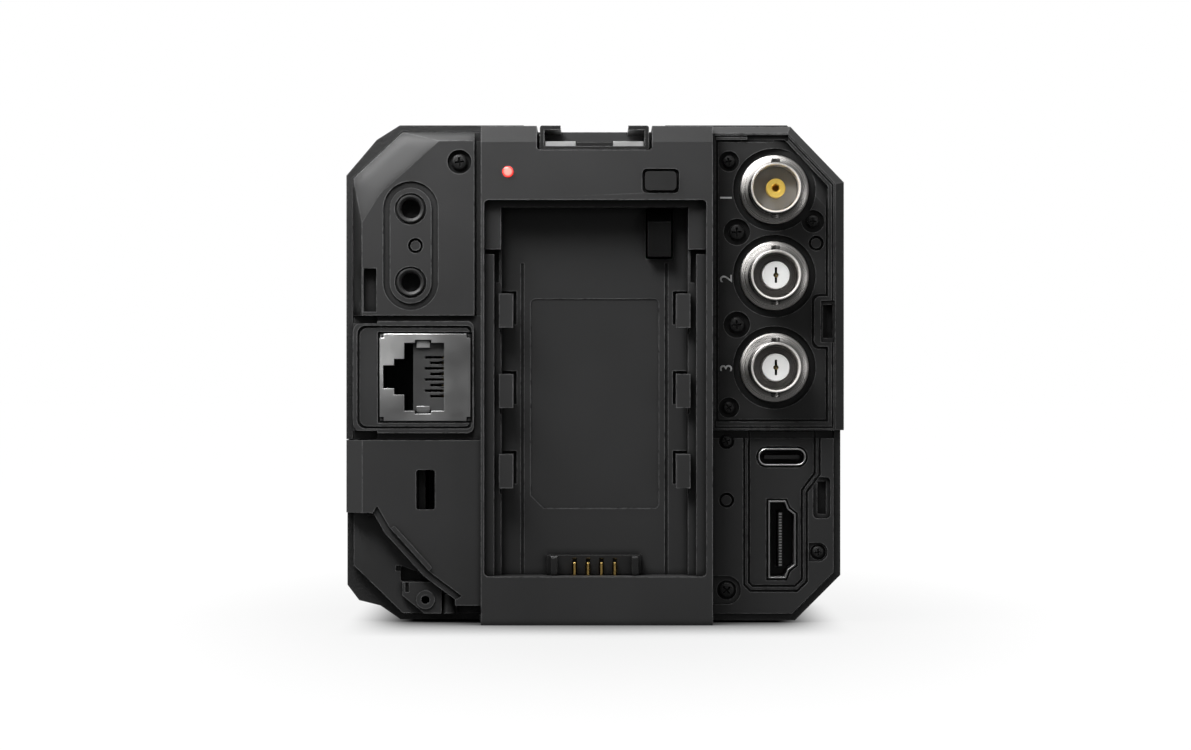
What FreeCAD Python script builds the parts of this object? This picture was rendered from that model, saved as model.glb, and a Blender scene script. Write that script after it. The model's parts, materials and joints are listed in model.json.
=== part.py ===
import FreeCAD, Part
import math
import os
import Sketcher

# Box cinema camera, in millimetres. X runs to the right seen from behind, Y towards the lens, Z up.
# The origin is the mouth of the tripod thread in the underside.

Vector = FreeCAD.Vector
os.makedirs("parts", exist_ok=True)
doc = FreeCAD.newDocument("BoxCamera")

# Driving dimensions: name, value in millimetres, what it is
dimensions = [
    ("shell_left", 46.6, "casing: left side from the middle plane"),
    ("shell_right", 45.8, "casing: right side from the middle plane"),
    ("shell_base", 0.4, "casing: underside above the standing face"),
    ("shell_top", 93.0, "casing: top face"),
    ("shell_rear", 29.5, "casing: rear rim behind the middle plane"),
    ("shell_front", 31.5, "casing: front rim ahead of the middle plane"),
    ("shell_wall", 1.2, "casing: wall"),
    ("corner_wide", 10.0, "casing: width of a slanted corner"),
    ("corner_tall", 10.0, "casing: height of a slanted corner"),
    ("corner_shoulder", 4.3, "casing: width of the shallow shoulder at the top left"),
    ("corner_drop", 2.7, "casing: drop of that shoulder"),
    ("foot_corner", 8.5, "casing: size of the lower right corner"),
    ("seat_gap", 0.1, "gap between a panel and the wall round it"),
    ("fit_gap", 0.15, "gap round a moving button or latch"),
    ("turn_gap", 0.05, "radial gap of a pin in its hole"),
    ("panel_rear", 31.5, "rear panels: outer face behind the middle plane"),
    ("panel_front", 27.5, "rear panels: inner face behind the middle plane"),
    ("panel_left", 21.2, "battery housing: left side"),
    ("panel_right", 21.7, "battery housing: right side"),
    ("housing_rear", 39.0, "battery housing: rear face"),
    ("housing_bevel", 3.0, "battery housing: height of the bevel along the top"),
    ("bevel_depth", 0.5, "battery housing: depth of that bevel"),
    ("ledge_corner", 0.8, "battery bay: corner radius of the ledges"),
    ("bay_left", 17.5, "battery bay: left wall"),
    ("bay_right", 17.2, "battery bay: right wall"),
    ("bay_floor", 30.0, "battery bay: floor behind the middle plane"),
    ("ledge_depth", 2.5, "battery bay: depth of the upper ledges"),
    ("ledge_left", 20.6, "battery bay: outer edge of the left ledge"),
    ("ledge_right", 20.5, "battery bay: outer edge of the right ledge"),
    ("rail_depth", 5.2, "battery bay: depth of the side rails"),
    ("rail_inset", 1.8, "battery bay: side rail face from the ledge's outer edge"),
    ("hook_tall", 6.3, "battery hooks: height"),
    ("hook_reach", 2.2, "battery hooks: reach over the bay"),
    ("hook_thick", 2.4, "battery hooks: thickness"),
    ("hook_notch", 0.65, "battery hooks: radius of the notch under a hook"),
    ("groove_left", 13.65, "bay floor: left groove"),
    ("groove_right", 13.25, "bay floor: right groove"),
    ("groove_wide", 0.55, "bay floor: width of a groove"),
    ("groove_deep", 0.35, "bay floor: depth of a groove"),
    ("label_left", 12.1, "label recess: left edge"),
    ("label_right", 11.8, "label recess: right edge"),
    ("label_cut", 2.4, "label recess: slanted corner"),
    ("label_deep", 0.2, "label recess: depth"),
    ("release_x", 12.05, "battery release button: centre across"),
    ("release_wide", 5.8, "battery release button: width"),
    ("release_tall", 3.5, "battery release button: height"),
    ("release_corner", 0.9, "battery release button: corner radius"),
    ("release_proud", 0.5, "battery release button: how far it stands out"),
    ("release_long", 4.5, "battery release button: length into the housing"),
    ("release_rim", 0.5, "battery release button: rim round the button"),
    ("release_rim_deep", 0.9, "battery release button: depth of that rim"),
    ("latch_x", 11.9, "battery latch: centre across"),
    ("latch_wide", 4.4, "battery latch: width"),
    ("latch_tall", 8.9, "battery latch: height"),
    ("latch_proud", 3.6, "battery latch: reach out of the bay floor"),
    ("latch_tail", 4.0, "battery latch: length behind the bay floor"),
    ("latch_room", 0.35, "battery latch: gap round the latch in the bay floor"),
    ("lamp_x", 16.2, "status lamp: distance left of the middle"),
    ("lamp_r", 1.0, "status lamp: radius"),
    ("terminal_left", 9.2, "battery terminals: left end of the block"),
    ("terminal_right", 8.5, "battery terminals: right end of the block"),
    ("terminal_tall", 3.8, "battery terminals: height of the block"),
    ("terminal_proud", 2.2, "battery terminals: block above the bay floor"),
    ("post_wide", 1.1, "battery terminals: width of a guide post"),
    ("post_proud", 4.6, "battery terminals: guide post above the bay floor"),
    ("blade_pitch", 2.5, "battery terminals: blade pitch"),
    ("blade_x", 3.9, "battery terminals: first blade left of the middle"),
    ("blade_thick", 0.4, "battery terminals: blade thickness"),
    ("blade_tall", 2.4, "battery terminals: blade height"),
    ("blade_proud", 1.4, "battery terminals: blade above the block"),
    ("audio_x", 34.5, "audio panel: jacks left of the middle"),
    ("jack_bore", 1.8, "audio jack: bore radius for a 3.5 mm plug"),
    ("jack_ring", 2.9, "audio jack: radius of the collar"),
    ("jack_long", 14.5, "audio jack: depth of the bore"),
    ("pill_half", 5.1, "audio panel: half width of the groove round the jacks"),
    ("pill_wide", 1.2, "audio panel: width of that groove"),
    ("pill_deep", 0.5, "audio panel: depth of that groove"),
    ("tab_left", 43.3, "left cover tab slot: outer edge"),
    ("tab_wide", 2.4, "left cover tab slot: width"),
    ("tab_tall", 8.1, "left cover tab slot: height"),
    ("tab_deep", 2.6, "cover tab slots: depth"),
    ("blind_r", 1.4, "blind pin holes: radius"),
    ("blind_deep", 1.6, "blind pin holes: depth"),
    ("blind_plug", 0.95, "blind pin holes: radius of the plug"),
    ("blind_sink", 0.25, "blind pin holes: plug below the face"),
    ("net_step", 1.0, "network panel: step back round the raised frame"),
    ("net_margin", 0.95, "network panel: raised frame from the panel's edge, top and bottom"),
    ("net_corner", 2.2, "network panel: corner radius of the raised frame"),
    ("net_lip", 0.85, "network panel: lip of the raised frame"),
    ("rj_left", 40.3, "network socket: left side"),
    ("rj_wide", 17.0, "network socket: width"),
    ("rj_tall", 16.3, "network socket: height"),
    ("rj_wall", 0.5, "network socket: shield sheet"),
    ("rj_moat", 0.35, "network socket: width of the groove round the shield"),
    ("rj_moat_deep", 0.7, "network socket: depth of that groove"),
    ("rj_mouth_left", 35.7, "network socket: left edge of the mouth"),
    ("rj_mouth_wide", 7.4, "network socket: width of the mouth"),
    ("rj_mouth_tall", 12.7, "network socket: height of the mouth"),
    ("rj_depth", 13.5, "network socket: depth of the mouth"),
    ("rj_pitch", 1.02, "network socket: contact pitch"),
    ("door_face", 32.0, "card door: outer face behind the middle plane"),
    ("door_thick", 1.8, "card door: thickness"),
    ("door_bevel", 3.1, "card door: width of the bevel at the hinge side"),
    ("door_drop", 2.6, "card door: depth of that bevel"),
    ("hinge_y", 23.6, "card door hinge: axis behind the middle plane"),
    ("hinge_r", 1.5, "card door hinge: radius of the barrel"),
    ("hinge_pin_r", 0.6, "card door hinge: radius of the pin"),
    ("lug_tall", 1.6, "card door hinge: height of a lug"),
    ("lock_x", 31.7, "security slot: centre left of the middle"),
    ("lock_wide", 3.5, "security slot: width"),
    ("lock_tall", 7.4, "security slot: height"),
    ("bezel_deep", 26.0, "lower left bezel: deepest face behind the middle plane"),
    ("clamp_x", 31.8, "cable clamp boss: left of the middle"),
    ("clamp_r", 1.75, "cable clamp boss: radius"),
    ("clamp_bore", 0.8, "cable clamp boss: radius of the thread"),
    ("sdi_right", 46.4, "video panel: right side"),
    ("sdi_bevel", 1.6, "video panel: slant from the side to the raised frame"),
    ("sdi_frame", 1.1, "video panel: width of the raised frame"),
    ("sdi_sink", 0.5, "video panel: depth of the face inside the frame"),
    ("bnc_x", 33.4, "coaxial sockets: right of the middle"),
    ("bnc_well", 7.7, "coaxial sockets: radius of the well round the flange"),
    ("bnc_flange", 6.5, "coaxial sockets: flange radius"),
    ("bnc_barrel", 4.8, "coaxial sockets: barrel radius"),
    ("bnc_inside", 4.2, "coaxial sockets: radius inside the barrel"),
    ("bnc_long", 8.6, "coaxial sockets: barrel length"),
    ("bnc_lug", 0.95, "coaxial sockets: radius of a bayonet lug"),
    ("bnc_lug_reach", 0.7, "coaxial sockets: reach of a bayonet lug"),
    ("bnc_insulator", 2.55, "coaxial sockets: insulator radius"),
    ("bnc_contact", 0.95, "coaxial sockets: contact sleeve radius"),
    ("low_face", 30.3, "data panel: outer face behind the middle plane"),
    ("data_left", 27.6, "data panel: left edge of the socket recess"),
    ("data_right", 39.7, "data panel: right edge of the socket recess"),
    ("data_far", 42.1, "data panel: right edge of the recess beside the upper socket"),
    ("data_lip", 0.9, "data panel: lip of the socket recess"),
    ("data_sink", 0.5, "data panel: depth of each step of the recess"),
    ("port_x", 34.9, "upper data socket: centre across"),
    ("port_wide", 8.94, "upper data socket: width of the metal shell"),
    ("port_tall", 3.26, "upper data socket: height of the metal shell"),
    ("port_wall", 0.3, "upper data socket: sheet"),
    ("monitor_left", 32.3, "lower data socket: left side"),
    ("monitor_wide", 5.2, "lower data socket: width"),
    ("monitor_tall", 14.6, "lower data socket: height"),
    ("monitor_wall", 0.35, "lower data socket: sheet"),
    ("port_moat", 0.35, "data sockets: width of the groove round a shell"),
    ("port_moat_deep", 0.7, "data sockets: depth of that groove"),
    ("cover_thick", 4.0, "front cover: thickness"),
    ("cover_bevel", 1.6, "front cover: bevel"),
    ("flange_y", 39.0, "lens mount: flange ahead of the middle plane"),
    ("mount_outer", 28.4, "lens mount: outer radius of the ring"),
    ("mount_bore", 21.6, "lens mount: bore between the claws"),
    ("claw_bore", 19.4, "lens mount: bore at the claws"),
    ("claw_thick", 1.3, "lens mount: claw thickness"),
    ("claw_sink", 1.2, "lens mount: claws behind the flange"),
    ("mount_thick", 2.8, "lens mount: ring thickness"),
    ("flange_back", 19.25, "lens mount: flange to the image plane"),
    ("throat_wall", 1.2, "throat: wall of the baffle"),
    ("sensor_wide", 17.3, "image sensor: width"),
    ("sensor_tall", 13.0, "image sensor: height"),
    ("pin_ring", 24.6, "lens mount: radius of the lock pin's centre"),
    ("pin_r", 1.1, "lens lock pin: radius"),
    ("pin_proud", 0.9, "lens lock pin: reach past the flange"),
    ("unlock_x", 34.8, "lens release button: left of the middle"),
    ("unlock_r", 5.0, "lens release button: radius"),
    ("unlock_proud", 3.0, "lens release button: reach past the cover"),
    ("thread_r", 2.55, "quarter inch threads: core radius"),
    ("thread_deep", 6.0, "quarter inch threads: length"),
    ("insert_r", 4.6, "quarter inch threads: radius of the insert"),
    ("screw_r", 1.15, "small screws: head radius"),
    ("screw_big_r", 1.5, "large screws: head radius"),
    ("screw_head", 1.0, "screws: head height"),
    ("screw_shank", 0.9, "screws: shank radius"),
    ("screw_long", 3.2, "screws: shank length"),
    ("recess_ring", 0.75, "screws: gap round a head in its recess"),
    ("shoe_x", -0.2, "accessory shoe: centre across"),
    ("shoe_wide", 18.6, "accessory shoe: width between the walls"),
    ("shoe_gap", 12.5, "accessory shoe: gap between the claws"),
    ("shoe_slot", 2.1, "accessory shoe: height of the slot"),
    ("shoe_sheet", 0.8, "accessory shoe: sheet thickness"),
    ("shoe_long", 19.0, "accessory shoe: length"),
    ("shoe_notch", 21.3, "accessory shoe: width of the notch in the housing"),
    ("vent_wide", 1.4, "vents: width of a slot"),
    ("vent_pitch", 3.2, "vents: pitch"),
    ("fan_side", 35.0, "fan: side of the square housing"),
    ("fan_thick", 10.0, "fan: thickness"),
    ("fan_y", 9.5, "fan: axis ahead of the middle plane"),
    ("fan_bore", 16.2, "fan: bore of the housing"),
    ("blade_r", 15.6, "fan: tip radius of the blades"),
    ("hub_r", 7.0, "fan: hub radius"),
    ("shaft_r", 1.0, "fan: shaft radius"),
    ("board_thick", 1.6, "circuit boards: thickness"),
    ("io_board_y", 11.0, "connector board: rear face behind the middle plane"),
    ("main_board_y", 8.0, "main board: rear face ahead of the middle plane"),
    ("sink_y", 3.0, "heat sink: rear of its base ahead of the middle plane"),
    ("fin_long", 10.0, "heat sink: fin length"),
    ("fin_thick", 1.0, "heat sink: fin thickness"),
    ("fin_pitch", 4.0, "heat sink: fin pitch"),
    ("base_half", 28.0, "base plate: half width"),
    ("base_rear", 18.0, "base plate: rear edge behind the middle plane"),
    ("base_front", 24.0, "base plate: front edge ahead of the middle plane"),
    ("foot_inset", 2.0, "base plate: plug from the plate's edge"),
    ("foot_plug", 1.0, "base plate: plug above the casing's wall"),
    ("control_rear", 4.0, "control panel: rear edge behind the middle plane"),
    ("control_front", 25.5, "control panel: front edge ahead of the middle plane"),
    ("control_lip", 1.6, "control panel: flange behind the casing's wall"),
    ("record_r", 5.0, "record button: radius"),
    ("pad_r", 8.0, "direction pad: radius"),
    ("power_r", 3.6, "power button: radius"),
    ("button_travel", 0.6, "side buttons: travel"),
    ("button_proud", 0.7, "side buttons: reach past the control panel"),
    ("switch_gap", 2.6, "switch board: gap behind the control panel's flange"),
    ("intake_rear", 26.0, "intake vents: rear end behind the middle plane"),
    ("intake_front", 8.0, "intake vents: front end behind the middle plane"),
    ("side_left_y", 14.0, "left side threads: behind the middle plane"),
    ("side_right_y", 4.0, "right side threads: ahead of the middle plane"),
    ("top_insert_x", 27.0, "top threads: distance from the middle"),
    ("top_insert_y", 6.0, "top threads: ahead of the middle plane"),
    ("base_insert_x", 18.0, "outer base threads: distance from the middle"),
    ("register_y", 15.0, "base register hole: ahead of the tripod thread"),
    ("register_r", 2.4, "base register hole: radius"),
    ("tally_x", 34.0, "front lamp: right of the middle"),
    ("tally_r", 1.6, "front lamp: radius"),
    ("hook_root", 0.4, "battery hooks: root sunk in the side wall"),
    ("port_board_y", 18.0, "port board: rear face behind the middle plane"),
    ("plate_front", 20.5, "top plate: front edge ahead of the middle plane"),
    ("shoe_block_y", 14.0, "battery housing: front end of the block under the shoe"),
    ("latch_drop", 9.1, "battery latch: lower end below the top of the bay"),
    ("rj_mouth_lift", 1.9, "network socket: lower edge of the mouth above the socket's lower side"),
    ("side_gap", 0.05, "casing: gap between a slanted corner and the door's hinge barrel"),
    ("shoulder_lift", 0.6, "casing: end of the shallow shoulder above the slanted corner"),
    ("toe_high", 6.5, "casing: start of the lower left corner above the underside"),
    ("toe_mid_x", 2.2, "casing: middle of that corner, inwards"),
    ("toe_mid_z", 3.6, "casing: middle of that corner, upwards"),
    ("toe_low_x", 6.2, "casing: foot of that corner, inwards"),
    ("toe_low_z", 2.6, "casing: foot of that corner, upwards"),
    ("hinge_clear", 0.6, "card door hinge: gap ahead of the barrel for the open door"),
    ("window_corner", 3.0, "corner radius of the base plate and of the control panel"),
    ("audio_screw_x", 25.4, "audio panel: screw left of the middle"),
    ("blind_offset", 0.9, "audio panel: blind hole right of the jacks"),
    ("pill_reach", 5.15, "audio panel: end of the groove past a jack's centre"),
    ("small_screw_x", 24.9, "video panel: small screws right of the middle"),
    ("large_screw_x", 26.4, "video panel: large screws right of the middle"),
    ("lobe_screw_x", 40.6, "video panel: screw in the lobe, right of the middle"),
    ("video_blind_x", 41.2, "video panel: blind hole right of the middle"),
    ("video_tab_wide", 1.85, "video panel: width of the cover tab slot"),
    ("video_tab_edge", 2.1, "video panel: cover tab slot from the right side"),
    ("video_tab_land", 5.6, "video panel: raised land round that slot, from the right side"),
    ("video_tab_margin", 1.6, "video panel: that land past the slot, above and below"),
    ("video_tab_corner", 1.2, "video panel: corner radius of that land"),
    ("video_tab_rim", 0.35, "video panel: recess round the slot, on each side"),
    ("video_tab_rise", 0.8, "video panel: that recess past the slot, above and below"),
    ("video_tab_rim_deep", 0.5, "video panel: depth of that recess"),
    ("video_tab_tall", 6.2, "video panel: height of the cover tab slot"),
    ("video_tab_sink", 0.9, "video panel: depth of the recess along the top"),
    ("lip_left", 28.3, "video panel: left end of the recess along the top"),
    ("lip_right", 36.0, "video panel: right end of the recess along the top"),
    ("lip_drop", 2.8, "video panel: lower edge of that recess below the panel's top"),
    ("lip_tall", 1.2, "video panel: height of that recess"),
    ("face_slope", 4.2, "video panel: width of the slope in the upper right corner of the face"),
    ("data_hole_x", 24.5, "data panel: left screws and blind hole, right of the middle"),
    ("data_screw_x", 41.6, "data panel: right screw, right of the middle"),
    ("data_tab_x", 41.5, "data panel: left side of the cover tab slot"),
    ("data_tab_wide", 1.6, "data panel: width of the cover tab slot"),
    ("data_tab_tall", 6.1, "data panel: height of the cover tab slot"),
    ("data_tab_rim", 0.8, "data panel: recess round that slot, on each side"),
    ("card_left", 33.2, "card slots: left side of the unit, left of the middle"),
    ("card_right", 24.4, "card slots: right side of the unit, left of the middle"),
    ("card_lift", 4.6, "card slots: foot of the unit above the clamp boss"),
    ("card_drop", 0.95, "card slots: top of the unit below the door's upper edge"),
    ("card_slot", 2.4, "card slots: width of a slot"),
    ("card_first", 1.4, "card slots: first slot from the unit's left side"),
    ("card_pitch", 4.0, "card slots: pitch"),
    ("base_screw_in", 5.0, "base plate: screws from the plate's edges"),
    ("carrier_half_x", 28.0, "sensor carrier: half width"),
    ("carrier_half_z", 28.5, "sensor carrier: half height"),
    ("carrier_thick", 2.0, "sensor carrier: thickness"),
    ("carrier_post_x", 25.0, "sensor carrier: posts from the lens axis, across"),
    ("carrier_post_z", 25.5, "sensor carrier: posts from the lens axis, upwards"),
    ("carrier_post_r", 2.6, "sensor carrier: radius of a post"),
    ("package_rim", 5.0, "sensor package: width round the image sensor"),
    ("board_left", 37.0, "main board: left side"),
    ("board_right", 31.5, "main board: right side"),
    ("board_foot", 5.4, "boards: lower edge above the casing's floor"),
    ("board_head", 6.8, "boards: upper edge below the casing's ceiling"),
    ("chip_half", 9.0, "main board: half side of the processor"),
    ("module_wide", 6.5, "main board: width of a memory module"),
    ("module_tall", 8.0, "main board: height of a memory module"),
    ("module_deep", 1.2, "main board: thickness of a memory module"),
    ("sink_left", 34.0, "heat sink: left side"),
    ("sink_right", 30.5, "heat sink: right side"),
    ("sink_base_thick", 2.0, "heat sink: thickness of its base"),
    ("sink_below", 26.5, "heat sink: lower edge below the lens axis"),
    ("io_left", 38.0, "connector board: left side"),
    ("io_right", 39.5, "connector board: right side"),
    ("stand_left", 34.0, "standoffs: left ones from the middle"),
    ("stand_right", 28.0, "standoffs: right ones from the middle"),
    ("stand_low", 5.0, "standoffs: lower ones above the board's lower edge"),
    ("stand_high", 4.0, "standoffs: upper ones below the board's upper edge"),
    ("stand_r", 2.2, "standoffs: radius"),
    ("stand_sensor", 24.0, "standoffs: those of the sensor carrier, from the lens axis"),
    ("shoe_block_wide", 2.5, "battery housing: block under the shoe past the notch, each side"),
    ("shoe_block_tall", 3.0, "battery housing: block under the shoe, below the notch"),
    ("fan_arm", 1.0, "fan: half width of an arm"),
    ("fan_arm_deep", 1.2, "fan: depth of the arms"),
    ("switch_boss", 1.8, "switch board: radius of the bosses that carry it"),
    ("switch_boss_in", 4.0, "switch board: bosses from the control panel's edges"),
    ("core_toe", 9.7, "casing: height of the slanted lower left corner inside"),
    ("hook_gap", 0.55, "battery hooks: slot above a hook and beside its end"),
    ("hook_slot_deep", 1.6, "battery hooks: depth of that slot"),
    ("rail_slot_tall", 0.9, "battery rails: height of the slot over a rail"),
    ("rail_slot_drop", 6.1, "battery rails: reach of that slot down beside the rail"),
    ("rail_slot_in", 0.45, "battery rails: wall left between that slot and the bay"),
    ("strip_wide", 1.3, "audio panel: width of the lower strip along its right side"),
    ("strip_sink", 0.9, "audio panel: strip below the face"),
    ("frame_groove", 0.4, "panels: width of the groove inside a frame"),
    ("frame_groove_deep", 0.5, "panels: depth of that groove"),
    ("rim_groove_in", 0.4, "video panel: groove in the raised frame, from the frame's edge"),
    ("rim_groove", 0.3, "video panel: width of that groove"),
    ("facet_deep", 1.0, "video panel: depth of the slope in the corner of the face"),
    ("bezel_plate", 2.2, "lower left bezel: plate over its deepest face"),
    ("band_wide", 1.3, "card door: width of the step along its curved edge"),
    ("band_sink", 0.5, "card door: depth of that step"),
    ("rib_wide", 1.0, "card door: width of the raised rib"),
    ("rib_proud", 0.35, "card door: height of that rib"),
    ("screw_lobe", 2.65, "data panel: radius of the recess round the large screw"),
    ("screw_lobe_small", 1.75, "data panel: radius of the recess round the right screw"),
    ("screw_lobe_deep", 0.5, "data panel: depth of those recesses"),
    ("data_close_ring", 0.3, "data panel: gap round a screw's head"),
    ("data_band_tall", 1.5, "data panel: height of the recess under the video panel"),
    ("data_band_deep", 1.2, "data panel: depth of that recess"),
]

# Heights above the standing face: each keeps its share of the casing's height
levels = [
    ("drawn_top", 93.0, "height of the casing on which the heights below were measured"),
    ("housing_top", 92.4, "battery housing: top face"),
    ("bay_base", 9.0, "battery bay: lower end"),
    ("bay_drop", 15.0, "battery bay: upper end below the housing's top"),
    ("ledge_base", 69.6, "battery bay: lower end of the upper ledges"),
    ("hook_base", 25.3, "battery hooks: foot of the lowest hook"),
    ("hook_pitch", 14.9, "battery hooks: pitch"),
    ("groove_top", 67.2, "bay floor: upper end of the grooves"),
    ("label_base", 21.4, "label recess: lower edge"),
    ("label_top", 60.5, "label recess: upper edge"),
    ("release_drop", 10.2, "battery release button: centre below the housing's top"),
    ("lamp_drop", 8.5, "status lamp: below the housing's top"),
    ("audio_base", 57.4, "audio panel: lower edge"),
    ("mic_z", 77.3, "audio panel: microphone jack height"),
    ("phones_z", 63.6, "audio panel: headphone jack height"),
    ("tab_base", 58.1, "left cover tab slot: lower end"),
    ("net_base", 34.3, "network panel: lower edge"),
    ("rj_base", 37.7, "network socket: lower side"),
    ("door_top", 34.15, "card door: upper edge"),
    ("door_step", 20.6, "card door: lower edge at the hinge side"),
    ("door_foot", 3.3, "card door: lower edge at the housing"),
    ("lock_z", 24.9, "security slot: centre height"),
    ("clamp_z", 4.3, "cable clamp boss: height"),
    ("sdi_base", 36.0, "video panel: lower edge"),
    ("bnc_top_z", 80.9, "coaxial sockets: height of the top one"),
    ("bnc_mid_z", 64.8, "coaxial sockets: height of the middle one"),
    ("bnc_low_z", 47.7, "coaxial sockets: height of the lowest one"),
    ("data_base", 5.75, "data panel: lower edge of the socket recess"),
    ("port_z", 30.95, "upper data socket: centre height"),
    ("monitor_base", 8.2, "lower data socket: lower side"),
    ("lens_z", 46.5, "lens axis: height above the base"),
    ("unlock_z", 27.0, "lens release button: height"),
    ("shoe_floor", 87.95, "accessory shoe: floor of the notch"),
    ("plate_top", 92.3, "top plate: upper face"),
    ("fan_z", 45.5, "fan: axis height"),
    ("control_low", 15.0, "control panel: lower edge"),
    ("control_high", 79.0, "control panel: upper edge"),
    ("record_z", 69.0, "record button: height"),
    ("pad_z", 49.0, "direction pad: height"),
    ("power_z", 27.0, "power button: height"),
    ("intake_low", 40.0, "intake vents: lowest slot"),
    ("side_low_z", 17.0, "right side threads: height of the lower one"),
    ("side_high_z", 77.0, "side threads: height of the upper ones"),
    ("left_low_z", 15.5, "left side threads: height of the lower one"),
    ("tally_z", 82.0, "front lamp: height"),
    ("audio_screw_z", 86.1, "audio panel: screw"),
    ("small_screw_top_z", 86.2, "video panel: upper small screw"),
    ("small_screw_low_z", 40.2, "video panel: lower small screw"),
    ("large_screw_top_z", 73.0, "video panel: upper large screw"),
    ("large_screw_low_z", 55.7, "video panel: lower large screw"),
    ("lobe_screw_z", 75.0, "video panel: screw in the lobe"),
    ("video_blind_z", 70.9, "video panel: blind hole"),
    ("video_tab_base", 53.2, "video panel: foot of the cover tab slot"),
    ("data_blind_z", 22.9, "data panel: blind hole"),
    ("data_top_screw_z", 33.9, "data panel: upper screw"),
    ("data_side_screw_z", 13.2, "data panel: right screw"),
    ("data_low_screw_z", 6.1, "data panel: large screw"),
    ("data_step_low", 24.4, "data panel: lower end of the step in the socket recess"),
    ("data_step_high", 27.6, "data panel: upper end of that step"),
    ("data_tab_base", 20.3, "data panel: foot of the cover tab slot"),
    ("module_low_z", 24.0, "main board: lowest memory modules"),
    ("module_mid_z", 46.0, "main board: middle memory modules"),
    ("module_high_z", 60.0, "main board: upper memory modules"),
]

sheet = doc.addObject("Spreadsheet::Sheet", "Sizes")
for row, (alias, amount, note) in enumerate(dimensions + levels, 1):
    sheet.set(f"A{row}", note)
    sheet.set(f"B{row}", str(amount))
    sheet.setAlias(f"B{row}", alias)
doc.recompute()


class Size:
    """A length that carries its formula on the sheet along with its value."""

    def __init__(self, amount, formula):
        self.amount = amount
        self.formula = formula

    def __add__(self, other):
        other = as_size(other)
        return Size(self.amount + other.amount, f"({self.formula} + {other.formula})")

    def __sub__(self, other):
        other = as_size(other)
        return Size(self.amount - other.amount, f"({self.formula} - {other.formula})")

    def __mul__(self, other):
        other = as_size(other)
        return Size(self.amount * other.amount, f"({self.formula} * {other.formula})")

    def __truediv__(self, other):
        other = as_size(other)
        return Size(self.amount / other.amount, f"({self.formula} / {other.formula})")

    def __neg__(self):
        return Size(-self.amount, f"(0 - {self.formula})")

    def __rsub__(self, other):
        return as_size(other) - self

    __radd__ = __add__
    __rmul__ = __mul__


def as_size(item):
    if isinstance(item, Size):
        return item
    return Size(float(item), f"({float(item):.9f})")


def number(item):
    return as_size(item).amount


class Sizes:
    """The cells of the sheet, by alias."""


size = Sizes()
for alias, amount, note in dimensions + levels:
    setattr(size, alias, Size(float(sheet.get(alias)), f"Sizes.{alias}"))
height_share = size.shell_top / size.drawn_top
for alias, amount, note in levels[1:]:
    setattr(size, alias, getattr(size, alias) * height_share)


def bind(item, path, amount):
    item.setExpression(path, as_size(amount).formula)


# Sketch outlines: each returns a function that draws one closed wire

def fix_point(sketch, item, end, u, v):
    across = sketch.addConstraint(Sketcher.Constraint("DistanceX", -1, 1, item, end, number(u)))
    bind(sketch, f"Constraints[{across}]", u)
    upward = sketch.addConstraint(Sketcher.Constraint("DistanceY", -1, 1, item, end, number(v)))
    bind(sketch, f"Constraints[{upward}]", v)


def fix_radius(sketch, item, radius):
    held = sketch.addConstraint(Sketcher.Constraint("Radius", item, number(radius)))
    bind(sketch, f"Constraints[{held}]", radius)


def circle(u, v, radius):
    def draw(sketch):
        shape = Part.Circle(Vector(number(u), number(v), 0), Vector(0, 0, 1), number(radius))
        item = sketch.addGeometry(shape)
        fix_point(sketch, item, 3, u, v)
        fix_radius(sketch, item, radius)
    return draw


def heading(start, end):
    across = number(end[0]) - number(start[0])
    upward = number(end[1]) - number(start[1])
    length = math.hypot(across, upward)
    return across / length, upward / length


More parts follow.
